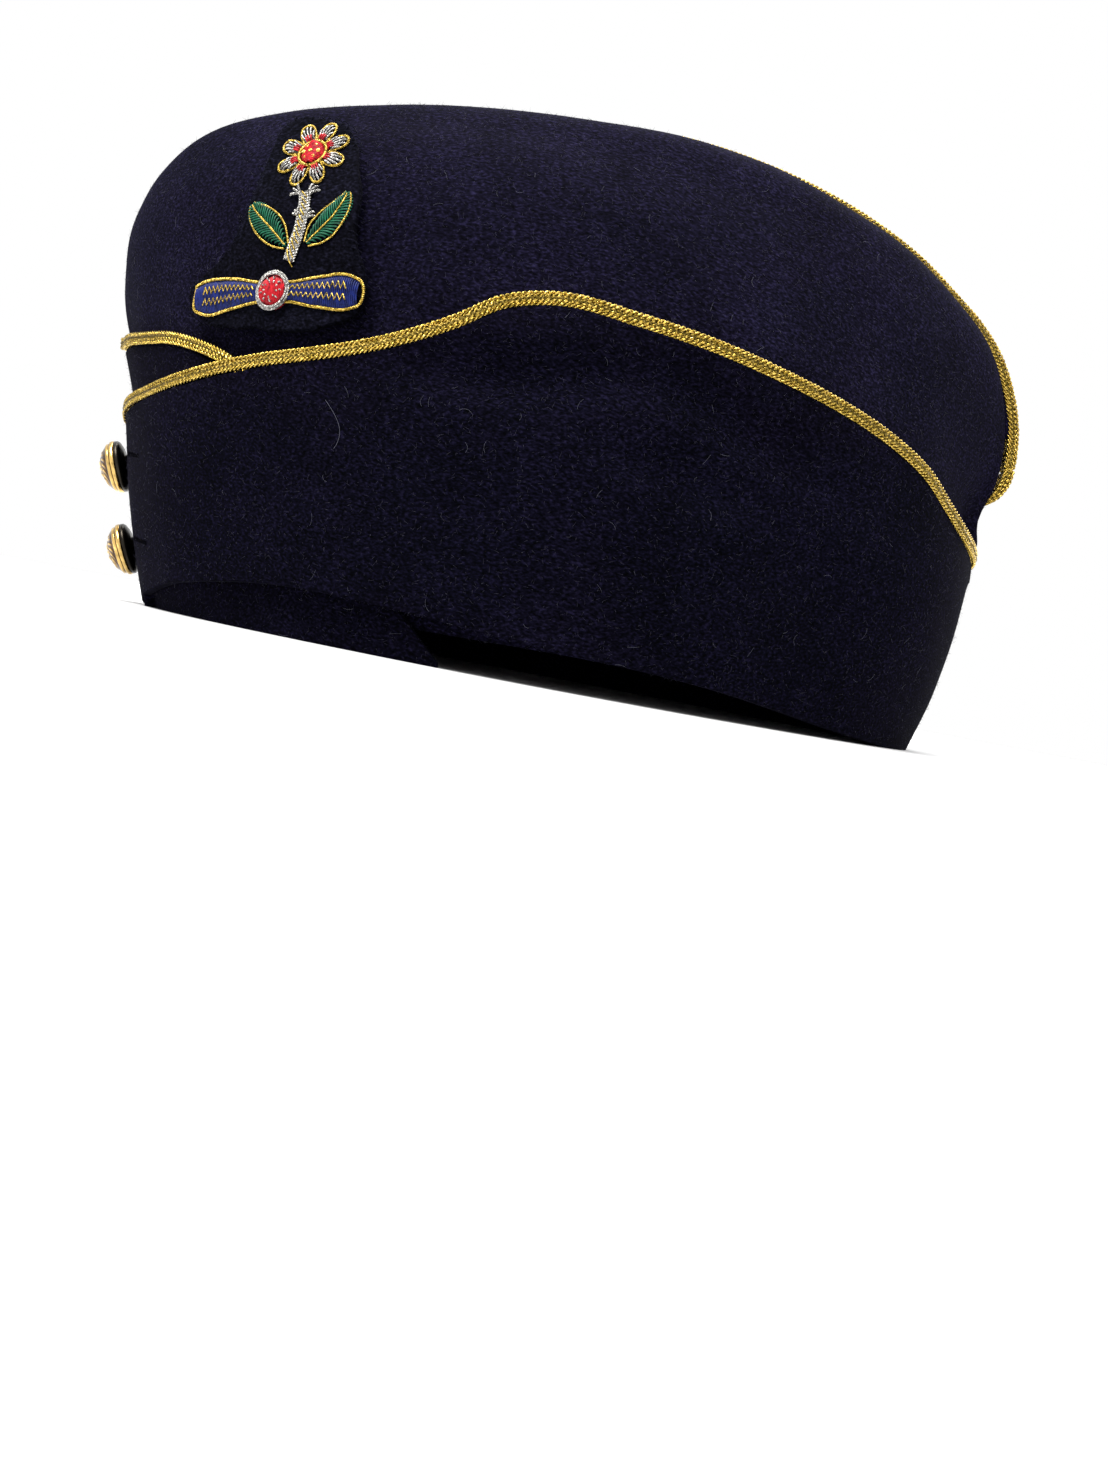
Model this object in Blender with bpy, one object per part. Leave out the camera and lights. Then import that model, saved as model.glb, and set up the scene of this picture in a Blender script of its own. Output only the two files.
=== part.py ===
"""Side cap in dark wool with gold braid piping: two crown panels with a dipping gusset between them, two turned-up
flaps that lap at the front, piping on every free edge, two buttons and an embroidered patch. Metres, +Z up, the
front of the cap towards -X and its left side towards -Y. It rests on its rim at z = 0."""

import math
from collections import namedtuple

import bmesh
import bpy
from mathutils import Vector

# Driving sizes of the body, in metres
RIM_LENGTH = 0.2183  # body at the rim, front seam to back seam, outside
RIM_WIDTH = 0.130  # body at the rim, side to side, outside
CROWN_HEIGHT = 0.1458  # floor to the seams on top, halfway along
NOSE_REACH = 0.0274  # how far the nose stands ahead of the rim
BACK_REACH = 0.0105  # how far the back seam stands behind the rim
RIM_ARCH = 0.0088  # lift of the rim over the ears
GUSSET_WIDTH = 0.062  # between the two top seams, halfway along
GUSSET_DIP = 0.036  # depth of the gusset below the top seams
CROWN_WALL = 0.0020
GUSSET_WALL = 0.0018
CLOTH_GAP = 0.0003  # between two pieces that lie together

# Flaps and piping
FLAP_HEIGHT = 0.0840  # floor to the flaps' highest edge
FLAP_WALL = 0.0024
FLAP_LIFT = 0.0068  # how far the left flap's lower edge stands above the body's rim at most
FLAP_GAP = 0.0005  # between the body and a flap
LAP_GAP = 0.0007  # between the two flaps where they lap
FLAP_FLARE = 0.0014  # how far a flap's upper edge stands off more than its foot
PIPING_RADIUS = 0.0017

# Buttons
BUTTON_RADIUS = 0.0074
BUTTON_DOME = 0.0028
BUTTON_RIM = 0.0016
BUTTON_BACK = 0.0022
BUTTON_RELIEF = 0.0004  # how high the cast petals stand on the dome
SHANK_RADIUS = 0.0022
SHANK_LENGTH = 0.0008
BUTTON_UPPER_UP = 0.0375
BUTTON_LOWER_UP = 0.0145

# Badge patch
PATCH_WIDTH = 0.0536
PATCH_HEIGHT = 0.0572
PATCH_WALL = 0.0022
PATCH_GAP = 0.0009
STITCH_RAISE = 0.0012  # thickness of the embroidery
STITCH_GAP = 0.0004  # between the felt and the embroidery

Rail = namedtuple("Rail", "share nose back front_up back_up side_up width point front_spring back_spring lean")

# One row for each rail of a crown panel, from the rim to the seam on top. nose, back: shares of NOSE_REACH and
# BACK_REACH. front_up, back_up, side_up: heights at the front seam, the back seam and halfway along, as shares of
# CROWN_HEIGHT. width: share of RIM_WIDTH, and of GUSSET_WIDTH in the last row. point: how pointed the ends are.
# front_spring, back_spring: how fast the rail leaves its ends, small is fast. lean: shift of its height backwards
RAILS = [
    Rail(0.00, 0.00, 0.00, 0.000, 0.000, 0.000, 1.00, 1.35, 1.00, 1.00, 0.00),
    Rail(0.20, 0.29, 0.38, 0.184, 0.122, 0.225, 1.04, 1.28, 1.60, 1.60, 0.00),
    Rail(0.42, 0.55, 0.42, 0.380, 0.259, 0.440, 1.06, 1.20, 1.10, 1.10, 0.00),
    Rail(0.66, 0.93, 0.46, 0.560, 0.367, 0.750, 0.95, 1.15, 0.75, 0.75, 0.05),
    Rail(0.87, 0.96, 0.85, 0.655, 0.415, 0.955, 0.64, 1.15, 0.72, 0.53, 0.16),
    Rail(1.00, 0.80, 0.95, 0.690, 0.450, 0.985, 1.00, 1.30, 0.85, 0.52, 0.22),
]

Row = namedtuple("Row", "along share")

# The rim's arch along a side, as a share of RIM_ARCH
ARCH = [Row(0, 0), Row(0.10, 0), Row(0.18, 0.23), Row(0.26, 0.50), Row(0.34, 0.88), Row(0.45, 0.94),
        Row(0.54, 1.0), Row(0.63, 0.85), Row(0.77, 0.26), Row(0.88, 0), Row(1.0, 0)]

# The left flap's upper edge, as shares of FLAP_HEIGHT. A negative along lies past the front seam, on the right
LEFT_EDGE = [Row(-0.18, 0.04), Row(-0.15, 0.30), Row(-0.12, 0.45), Row(-0.09, 0.53), Row(-0.05, 0.585),
             Row(0.0, 0.60), Row(0.07, 0.61), Row(0.175, 0.65), Row(0.25, 0.695), Row(0.33, 0.745),
             Row(0.386, 0.805), Row(0.436, 0.885), Row(0.48, 0.985), Row(0.50, 1.0), Row(0.57, 0.985),
             Row(0.69, 0.915), Row(0.79, 0.82), Row(0.90, 0.715), Row(0.95, 0.69), Row(1.0, 0.67)]

# The right flap's upper edge. Its end runs on under the left flap and slopes down to the rim
RIGHT_EDGE = [Row(-0.44, 0.12), Row(-0.40, 0.27), Row(-0.35, 0.44), Row(-0.30, 0.59), Row(-0.255, 0.735),
              Row(-0.21, 0.785), Row(-0.175, 0.81), Row(-0.12, 0.83), Row(-0.05, 0.84), Row(0.0, 0.84),
              Row(0.1, 0.835), Row(0.2, 0.83), Row(0.3, 0.83), Row(0.386, 0.85), Row(0.436, 0.90),
              Row(0.48, 0.985), Row(0.50, 1.0), Row(0.57, 0.985), Row(0.69, 0.915), Row(0.79, 0.82),
              Row(0.90, 0.715), Row(0.95, 0.69), Row(1.0, 0.67)]

# Lift of the left flap's foot over the body's rim, as a share of FLAP_LIFT
LIFT = [Row(0, 0), Row(0.06, 0.40), Row(0.16, 0.85), Row(0.26, 1.0), Row(0.34, 0.75), Row(0.44, 0.45),
        Row(0.54, 0), Row(1.0, 0)]

Place = namedtuple("Place", "across up")

# The patch's outline, going round from its top edge towards the back of the cap. Everything on the patch is placed
# from its middle by shares of PATCH_WIDTH towards the back and of PATCH_HEIGHT upwards
PATCH_OUTLINE = [
    Place(0.00, 0.50), Place(0.14, 0.49), Place(0.28, 0.44), Place(0.35, 0.32), Place(0.40, 0.17),
    Place(0.43, 0.00), Place(0.41, -0.12), Place(0.46, -0.23), Place(0.50, -0.32), Place(0.46, -0.43),
    Place(0.34, -0.475), Place(0.20, -0.50), Place(0.06, -0.49), Place(-0.08, -0.46), Place(-0.24, -0.43),
    Place(-0.40, -0.40), Place(-0.49, -0.32), Place(-0.49, -0.24), Place(-0.40, -0.18), Place(-0.27, -0.12),
    Place(-0.19, -0.02), Place(-0.14, 0.10), Place(-0.10, 0.24), Place(-0.08, 0.38), Place(-0.06, 0.46),
]
PATCH_HUB = Place(0.12, -0.16)  # from here the whole outline can be seen

Band = namedtuple("Band", "across up half")

# Embroidered bands on the patch, one row for each section, half: half its width as a share of PATCH_HEIGHT
STEM = [Band(0.155, 0.095, 0.014), Band(0.160, 0.03, 0.014), Band(0.150, -0.06, 0.016), Band(0.125, -0.14, 0.020),
        Band(0.100, -0.20, 0.024)]
FRONT_LEAF = [Band(0.085, -0.14, 0.008), Band(0.045, -0.10, 0.040), Band(-0.005, -0.05, 0.056),
              Band(-0.060, 0.00, 0.050), Band(-0.100, 0.04, 0.030), Band(-0.120, 0.07, 0.006)]
BACK_LEAF = [Band(0.190, -0.14, 0.008), Band(0.225, -0.11, 0.040), Band(0.275, -0.07, 0.056),
             Band(0.325, -0.02, 0.048), Band(0.360, 0.03, 0.028), Band(0.375, 0.07, 0.006)]
RIBBON = [Band(-0.44, -0.285, 0.050), Band(-0.39, -0.290, 0.085), Band(-0.20, -0.305, 0.068),
          Band(-0.03, -0.320, 0.032), Band(0.03, -0.325, 0.045), Band(0.09, -0.330, 0.032),
          Band(0.25, -0.345, 0.068), Band(0.41, -0.355, 0.085), Band(0.455, -0.360, 0.050)]
FLOWER = Place(0.150, 0.285)
PETALS = 8
PETAL_REACH = 0.172  # shares, as the places are
PETAL_NOTCH = 0.105  # where two petals meet
EYE_REACH = 0.066
EYE_SIDES = 12

Ring = namedtuple("Ring", "radius back rim dome relief")

# One row for each ring of a button from its back shell to its middle. radius: share of BUTTON_RADIUS. The others:
# shares of the sizes of the same names, which add up to its height
BUTTON_RINGS = [
    Ring(0.80, 0.00, 0.0, 0.00, 0.0),
    Ring(0.97, 0.55, 0.0, 0.00, 0.0),
    Ring(1.00, 1.00, 0.0, 0.00, 0.0),
    Ring(1.00, 1.00, 0.7, 0.00, 0.0),
    Ring(0.94, 1.00, 1.0, 0.00, 0.0),
    Ring(0.86, 1.00, 0.8, 0.00, 0.0),
    Ring(0.70, 1.00, 0.8, 0.48, 0.0),
    Ring(0.50, 1.00, 0.8, 0.76, 1.0),
    Ring(0.24, 1.00, 0.8, 0.94, 0.6),
    Ring(0.00, 1.00, 0.8, 1.00, 0.0),
]
BUTTON_PETALS = 6
BUTTON_SIDES = 4 * BUTTON_PETALS

Swell = namedtuple("Swell", "along up spread_along spread_up push")

# Places where the cloth swells out from the middle of the cap or sinks in, push in shares of RIM_WIDTH
SWELLS = [
    Swell(0.94, 0.96, 0.08, 0.20, 0.046),
    Swell(0.66, 1.00, 0.10, 0.15, 0.014),
]

# Stations along a side where every layer of cloth has a column, so that the layers nest
STATIONS = [0, 0.03, 0.06, 0.09, 0.12, 0.15, 0.18, 0.22, 0.26, 0.30, 0.34, 0.38, 0.41, 0.44, 0.47, 0.50, 0.55, 0.60,
            0.65, 0.70, 0.75, 0.80, 0.84, 0.88, 0.91, 0.94, 0.97, 1.0]
CROWN_ROWS = 13
LEVEL_BELOW, SQUARE_ABOVE = 0.45, 0.70  # shares up, where the cloth's thickness turns from level to square
GUSSET_COLUMNS = 8
GUSSET_FILL = 2.2  # how soon the gusset reaches its full depth from its ends
GUSSET_ROUND = 0.8  # under 1 gives the gusset a flat floor and steep sides
FLAP_ROWS = 7
STEP = 0.002  # share of a panel over which directions are measured
HALVINGS = 24
HIGHEST_SEWN = 0.9  # share up a panel that a flap's edge stays below
LEAST_FLAP = 0.012  # share of the panel that a flap's end keeps as height

# Shares along the left side between which its flap goes over the right flap's braid, comes back to the body, and
# leans out at its upper edge. The right flap only leans out
LAP_OVER, LAP_BACK, LEFT_FLARE, RIGHT_FLARE = (0.10, 0.22), (0.48, 0.72), (0.55, 0.80), (0.25, 0.50)
LAP_OFF = FLAP_GAP + 2 * PIPING_RADIUS + 2 * LAP_GAP
LAP_END = 0.25  # share along where the lap is over for the left flap's own braid
SEAM_EASE = 0.1  # share along over which a flap takes its distance from the seam
TOP_BRAID_IN = (0.15, 0.35)  # shares along between which a top seam's braid comes out from behind the rolled front
TOP_BRAID_END = 0.985  # share along where the top seams' braids end, on the back seam
FLAP_BRAID_FRONT, FLAP_BRAID_BACK = 0.005, 0.015  # how far a flap's braid stops short of its ends
BUTTON_DROOP = math.radians(7)
PATCH_ALONG = 0.304
PATCH_UP = 0.595
PATCH_LEAN = math.radians(10.8)


def blend(low, high, t):
    return low + (high - low) * t


def steps(start, end, count):
    return [blend(start, end, k / count) for k in range(count + 1)]


def ease(low, high, t):
    """0 below low, 1 above high and a soft step between."""
    t = min(max((t - low) / (high - low), 0.0), 1.0)
    return t * t * (3 - 2 * t)


def through(rows, t):
    """Smooth curve through (place, value) rows, with no overshoot at a flat stretch."""
    t = min(max(t, rows[0][0]), rows[-1][0])
    k = max(i for i in range(len(rows) - 1) if rows[i][0] <= t)

    def slope(i):
        if i in (0, len(rows) - 1):
            return 0.0 if len(rows) > 2 and rows[1 if i == 0 else -2][1] == rows[i][1] else None
        before = (rows[i][1] - rows[i - 1][1]) / (rows[i][0] - rows[i - 1][0])
        after = (rows[i + 1][1] - rows[i][1]) / (rows[i + 1][0] - rows[i][0])
        return 0.0 if before * after <= 0 else 2 * before * after / (before + after)

    (t0, a), (t1, b) = rows[k][:2], rows[k + 1][:2]
    width = t1 - t0
    chord = (b - a) / width
    m0, m1 = slope(k), slope(k + 1)
    m0 = chord if m0 is None else m0
    m1 = chord if m1 is None else m1
    s = (t - t0) / width
    return (
        a * (1 + 2 * s) * (1 - s) ** 2
        + b * s * s * (3 - 2 * s)
        + width * s * (1 - s) * (m0 * (1 - s) - m1 * s)
    )


def spline(places, points, t):
    """Catmull-Rom curve through points at uneven places."""
    t = min(max(t, places[0]), places[-1])
    k = max(i for i in range(len(places) - 1) if places[i] <= t)

    def slope(i):
        if i == 0:
            return (points[1] - points[0]) / (places[1] - places[0])
        if i == len(places) - 1:
            return (points[-1] - points[-2]) / (places[-1] - places[-2])
        before = (points[i] - points[i - 1]) / (places[i] - places[i - 1])
        after = (points[i + 1] - points[i]) / (places[i + 1] - places[i])
        share = (places[i] - places[i - 1]) / (places[i + 1] - places[i - 1])
        return before * (1 - share) + after * share

    width = places[k + 1] - places[k]
    s = (t - places[k]) / width
    return (
        points[k] * ((1 + 2 * s) * (1 - s) ** 2)
        + points[k + 1] * (s * s * (3 - 2 * s))
        + slope(k) * (width * s * (1 - s) ** 2)
        - slope(k + 1) * (width * s * s * (1 - s))
    )


def rail_point(rail, along):
    """Point of one rail on the left side, before the swells."""
    turn = math.sin(math.pi * along)
    run = (1 - math.cos(math.pi * along)) / 2
    front = -RIM_LENGTH / 2 - rail.nose * NOSE_REACH
    back = RIM_LENGTH / 2 + rail.back * BACK_REACH
    full = GUSSET_WIDTH if rail.share == 1 else RIM_WIDTH * rail.width
    ends = blend(rail.front_up, rail.back_up, run)
    spring = blend(rail.front_spring, rail.back_spring, run)
    rise = rail.side_up - (rail.front_up + rail.back_up) / 2
    up = ends + rise * turn**spring * (1 - rail.lean * math.cos(math.pi * along))
    arch = RIM_ARCH * through(ARCH, along) * (1 - rail.share) ** 2
    return Vector((blend(front, back, run), -full / 2 * turn**rail.point, CROWN_HEIGHT * up + arch))


def plain_point(along, up):
    return spline([rail.share for rail in RAILS], [rail_point(rail, along) for rail in RAILS], up)


def facing(point, along, up):
    """Outward direction of a face given as a function of along and up."""
    a0, a1 = max(along - STEP, 0.0), min(along + STEP, 1.0)
    u0, u1 = max(up - STEP, 0.0), min(up + STEP, 1.0)
    out = (point(a1, up) - point(a0, up)).cross(point(along, u1) - point(along, u0))
    if along in (0, 1):
        out.y = 0
    return out.normalized()


def swollen_point(along, up):
    place = plain_point(along, up)
    push = 0.0
    for swell in SWELLS:
        reach = ((along - swell.along) / swell.spread_along) ** 2 + ((up - swell.up) / swell.spread_up) ** 2
        push += swell.push * math.exp(-reach)
    if push:
        place = place + (place - Vector((0, 0, CROWN_HEIGHT / 2))).normalized() * (push * RIM_WIDTH)
    return place


def crown_facing(along, up):
    """Level near the rim, where the cloth stands on its edge, and square to the cloth higher up."""
    square = facing(swollen_point, along, up)
    level = Vector((square.x, square.y, 0)).normalized()
    return level.lerp(square, ease(LEVEL_BELOW, SQUARE_ABOVE, up)).normalized()


def out_for(clear, along, up):
    """Distance out along crown_facing that leaves a clearance square to the cloth."""
    return clear / crown_facing(along, up).dot(facing(swollen_point, along, up))


def on_side(along, up, out, side):
    """Point at a distance out from the crown's outer face. side is -1 on the left and 1 on the right, and a
    negative along lies past the front seam, on the other side."""
    place = swollen_point(abs(along), up) + crown_facing(abs(along), up) * out
    flip = -side if along >= 0 else side
    return Vector((place.x, place.y * flip, place.z))


def material(name, color, roughness, metallic=0.0):
    made = bpy.data.materials.new(name)
    made.use_nodes = True
    shader = made.node_tree.nodes["Principled BSDF"]
    shader.inputs["Base Color"].default_value = (*color, 1.0)
    shader.inputs["Roughness"].default_value = roughness
    shader.inputs["Metallic"].default_value = metallic
    return made


def add_object(name, bm, finish):
    """Puts a bmesh in the scene as one named object with its own material."""
    bmesh.ops.recalc_face_normals(bm, faces=bm.faces)
    mesh = bpy.data.meshes.new(name)
    bm.to_mesh(mesh)
    bm.free()
    mesh.materials.append(material(name, *finish))
    mesh.shade_smooth()
    mesh.set_sharp_from_angle(angle=math.radians(50))
    obj = bpy.data.objects.new(name, mesh)
    bpy.context.collection.objects.link(obj)
    return obj


def add_wall(name, outer, inner, finish):
    """Closed sheet of cloth between two grids of points with the same rows and columns."""
    bm = bmesh.new()
    rows, columns = len(outer), len(outer[0])
    faces = []
    for grid in (outer, inner):
        verts = [[bm.verts.new(p) for p in line] for line in grid]
        for i in range(rows - 1):
            for j in range(columns - 1):
                faces.append(bm.faces.new((verts[i][j], verts[i][j + 1], verts[i + 1][j + 1], verts[i + 1][j])))
    edges = [edge for edge in bm.edges if edge.is_boundary]
    bmesh.ops.bridge_loops(bm, edges=edges)
    return add_object(name, bm, finish)


def add_piping(name, path, finish, radius=PIPING_RADIUS):
    """Round braid through the points of path, without those that lie closer together than it is thick."""
    kept = path[:1]
    for place in path:
        if (place - kept[-1]).length > 2.2 * radius:
            kept.append(place)
    curve = bpy.data.curves.new(name, "CURVE")
    curve.dimensions = "3D"
    curve.bevel_depth = radius
    curve.bevel_resolution = 2
    curve.use_fill_caps = True
    line = curve.splines.new("POLY")
    line.points.add(len(kept) - 1)
    for point, place in zip(line.points, kept):
        point.co = (*place, 1.0)
    curve.materials.append(material(name, *finish))
    obj = bpy.data.objects.new(name, curve)
    bpy.context.collection.objects.link(obj)
    return obj


WOOL = ((0.010, 0.011, 0.030), 0.95)
GOLD_BRAID = ((0.52, 0.36, 0.09), 0.45, 0.6)
GILT = ((0.80, 0.55, 0.20), 0.25, 1.0)
GOLD_THREAD = ((0.60, 0.42, 0.12), 0.4, 0.7)
SILVER_THREAD = ((0.62, 0.62, 0.60), 0.4, 0.7)
RED_THREAD = ((0.45, 0.02, 0.02), 0.6)
GREEN_THREAD = ((0.03, 0.16, 0.05), 0.7)
BLUE_THREAD = ((0.02, 0.04, 0.28), 0.7)


def crown_panel(name, side):
    rows = [i / CROWN_ROWS for i in range(CROWN_ROWS + 1)]

    def face(out):
        seam = Vector((0, side * CLOTH_GAP / 2, 0))
        return [[on_side(a, v, out, side) + seam for a in STATIONS] for v in rows]

    return add_wall(name, face(0), face(-CROWN_WALL), WOOL)


def lip_frame(along):
    """Outer edge of the left crown panel, the y of its innermost corner there, and the way up, square to the
    seam in the cap's middle plane."""
    edge = swollen_point(along, 1.0)
    under = edge - crown_facing(along, 1.0) * CROWN_WALL
    run = swollen_point(min(along + STEP, 1), 1.0) - swollen_point(max(along - STEP, 0), 1.0)
    way_up = Vector((-run.z, 0, run.x)).normalized()
    return edge, max(edge.y, under.y), way_up


def gusset_frames():
    """Lip frames along the gusset. Its first and last one lie between two stations, where it just has room."""
    frames = [lip_frame(along) for along in STATIONS]
    room = GUSSET_WALL + 2 * CLOTH_GAP
    wide = [k for k, (_, inner_y, _) in enumerate(frames) if -inner_y > room]
    ends = []
    for narrow, near in ((frames[wide[0] - 1], frames[wide[0]]), (frames[wide[-1] + 1], frames[wide[-1]])):
        share = (-room - narrow[1]) / (near[1] - narrow[1])
        ends.append([blend(a, b, share) for a, b in zip(narrow, near)])
    return [ends[0]] + [frames[k] for k in wide] + [ends[1]]


def crown_top():
    def face(wall):
        grid = []
        for edge, inner_y, way_up in gusset_frames():
            half = -inner_y - CLOTH_GAP - wall
            dip = GUSSET_DIP * min(1.0, GUSSET_FILL * -inner_y / GUSSET_WIDTH) - wall
            turns = [math.pi * j / GUSSET_COLUMNS for j in range(GUSSET_COLUMNS + 1)]
            dips = [way_up * (dip * math.sin(t) ** GUSSET_ROUND) for t in turns]
            grid.append([Vector((edge.x, -half * math.cos(t), edge.z)) - down for t, down in zip(turns, dips)])
        return grid

    return add_wall("crown_top", face(GUSSET_WALL), face(0), WOOL)


def crown_piping(name, side):
    """Braid on a top seam. The two lie side by side down the back, where the panels meet."""
    path = []
    apart = PIPING_RADIUS + CLOTH_GAP / 2
    for along in STATIONS[1:-1] + [TOP_BRAID_END]:
        edge, inner_y, way_up = lip_frame(along)
        y = inner_y + CLOTH_GAP / 2 + PIPING_RADIUS * (1 - ease(*TOP_BRAID_IN, along))
        if along > TOP_BRAID_IN[1]:
            y = min(y, -apart)
        if -y >= apart:
            place = Vector((edge.x, y, edge.z)) + way_up * (PIPING_RADIUS + CLOTH_GAP)
            path.append(Vector((place.x, place.y * -side, place.z)))
    return add_piping(name, path, GOLD_BRAID)


def up_at_height(along, height):
    """Share up the crown panel where it reaches a height above the floor."""
    low, high = 0.0, HIGHEST_SEWN
    for _ in range(HALVINGS):
        middle = (low + high) / 2
        if swollen_point(along, middle).z < height:
            low = middle
        else:
            high = middle
    return low


def flap_foot(side, along):
    """Share up the panel of a flap's lower edge."""
    if side > 0:
        return 0.0
    return up_at_height(abs(along), swollen_point(abs(along), 0).z + FLAP_LIFT * through(LIFT, max(along, 0)))


def flap_head(side, along):
    """Share up the panel of a flap's upper edge."""
    height = FLAP_HEIGHT * through(LEFT_EDGE if side < 0 else RIGHT_EDGE, along)
    return max(up_at_height(abs(along), height), flap_foot(side, along) + LEAST_FLAP)


def flap_off(side, along, share):
    """Distance of a flap's inner face from the body. share runs from its foot to its upper edge."""
    if side < 0:
        over_cloth = FLAP_GAP + FLAP_WALL + LAP_GAP
        off = blend(over_cloth, LAP_OFF, ease(*LAP_OVER, along))
        return blend(off, FLAP_GAP, ease(*LAP_BACK, along)) + FLAP_FLARE * share**2 * ease(*LEFT_FLARE, along)
    return FLAP_GAP + FLAP_FLARE * share**2 * ease(*RIGHT_FLARE, along)


def flap_point(side, along, share, through_wall):
    """Point of a flap. through_wall is 0 on its inner face and 1 on its outer face."""
    up = blend(flap_foot(side, along), flap_head(side, along), share)
    place = on_side(along, up, flap_off(side, along, share) + through_wall * FLAP_WALL, side)
    place.y += side * CLOTH_GAP / 2 * ease(0, SEAM_EASE, along)
    return place


def flap_stations(edge):
    """Shares along of a flap's columns, from its end past the front seam to the back seam."""
    return [-a for a in reversed(STATIONS) if 0 < a <= -edge[0].along] + STATIONS


def flap(name, side, edge):
    shares = [i / FLAP_ROWS for i in range(FLAP_ROWS + 1)]

    def face(through_wall):
        return [[flap_point(side, a, s, through_wall) for a in flap_stations(edge)] for s in shares]

    return add_wall(name, face(1), face(0), WOOL)


def flap_piping(name, side, edge):
    """Braid on a flap's upper edge, set off square to the edge in the plane of the cloth. Where the left flap laps
    over the right one its braid stands further out, to clear the right flap."""
    path = []
    inner = flap_stations(edge)[1:-1]
    for along in [edge[0].along + FLAP_BRAID_FRONT] + inner + [edge[-1].along - FLAP_BRAID_BACK]:
        head = flap_head(side, along)
        seat = flap_point(side, along, 1, 0.5)
        run = flap_point(side, min(along + STEP, 1), 1, 0.5) - flap_point(side, along - STEP, 1, 0.5)
        out = (on_side(along, head, 1.0, side) - on_side(along, head, 0.0, side)).normalized()
        away = run.cross(out).normalized() * side
        clear = PIPING_RADIUS + LAP_GAP
        if side < 0 and along < LAP_END:
            clear += FLAP_GAP + FLAP_WALL
        lift = out_for(clear, abs(along), head) - flap_off(side, along, 1) - FLAP_WALL / 2
        path.append(seat + away * (PIPING_RADIUS + CLOTH_GAP) + out * max(0.0, lift))
    path = [place for place in path if place.x < 0 or abs(place.y) >= PIPING_RADIUS + CLOTH_GAP / 2]
    return add_piping(name, path, GOLD_BRAID)


def button(name, height):
    """Turned shell with a rolled rim and a domed front with cast petals, on a shank that reaches the left flap."""
    up = up_at_height(0, height)
    bm = bmesh.new()
    profile = [(0.0, 0.0), (SHANK_RADIUS, 0.0), (SHANK_RADIUS, SHANK_LENGTH)]
    for ring in BUTTON_RINGS:
        rise = ring.back * BUTTON_BACK + ring.rim * BUTTON_RIM + ring.dome * BUTTON_DOME
        profile.append((ring.radius * BUTTON_RADIUS, SHANK_LENGTH + rise))
    verts = [bm.verts.new((r, 0, z)) for r, z in profile]
    edges = [bm.edges.new(pair) for pair in zip(verts, verts[1:])]
    bmesh.ops.spin(bm, geom=verts + edges, cent=(0, 0, 0), axis=(0, 0, 1), angle=2 * math.pi, steps=BUTTON_SIDES,
                   use_merge=True)
    bmesh.ops.remove_doubles(bm, verts=bm.verts, dist=1e-6)
    for ring in BUTTON_RINGS:
        rise = SHANK_LENGTH + ring.back * BUTTON_BACK + ring.rim * BUTTON_RIM + ring.dome * BUTTON_DOME
        for vert in bm.verts:
            if ring.relief and abs(vert.co.z - rise) < 1e-6:
                wave = math.cos(BUTTON_PETALS * math.atan2(vert.co.y, vert.co.x))
                vert.co.z += BUTTON_RELIEF * ring.relief * wave
    obj = add_object(name, bm, GILT)
    axis = facing(swollen_point, 0, up)
    axis = Vector((axis.x, 0, axis.z - math.tan(BUTTON_DROOP))).normalized()
    tilt = axis.angle(crown_facing(0, up))
    seat = flap_off(-1, 0, 1) + FLAP_WALL + CLOTH_GAP + SHANK_RADIUS * math.sin(tilt)
    obj.rotation_euler = axis.to_track_quat("Z", "Y").to_euler()
    obj.location = on_side(0, up, seat, -1)
    return obj


def patch_axes():
    """Centre of the badge patch on the left panel, and its own axes along, up and out."""
    centre = swollen_point(PATCH_ALONG, PATCH_UP)
    out = facing(swollen_point, PATCH_ALONG, PATCH_UP)
    up = Vector((-math.sin(PATCH_LEAN), 0, math.cos(PATCH_LEAN)))
    up = (up - out * up.dot(out)).normalized()
    return centre, up.cross(out), up, out


def on_patch(across, up, out):
    """Point over the left panel at a place given in the patch's own axes."""
    centre, axis_a, axis_b, _ = patch_axes()
    a, v = PATCH_ALONG, PATCH_UP
    da = (swollen_point(a + STEP, v) - swollen_point(a - STEP, v)) / (2 * STEP)
    dv = (swollen_point(a, v + STEP) - swollen_point(a, v - STEP)) / (2 * STEP)
    m = ((da.dot(axis_a), dv.dot(axis_a)), (da.dot(axis_b), dv.dot(axis_b)))
    scale = 1 / (m[0][0] * m[1][1] - m[0][1] * m[1][0])
    for _ in range(10):
        gap = swollen_point(a, v) - centre
        miss_a, miss_b = across - gap.dot(axis_a), up - gap.dot(axis_b)
        a += (m[1][1] * miss_a - m[0][1] * miss_b) * scale
        v += (m[0][0] * miss_b - m[1][0] * miss_a) * scale
    return on_side(a, v, out, -1)


def patch_place(place):
    """Lengths across and up on the patch from shares of its size."""
    return PATCH_WIDTH * place[0], PATCH_HEIGHT * place[1]


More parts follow.
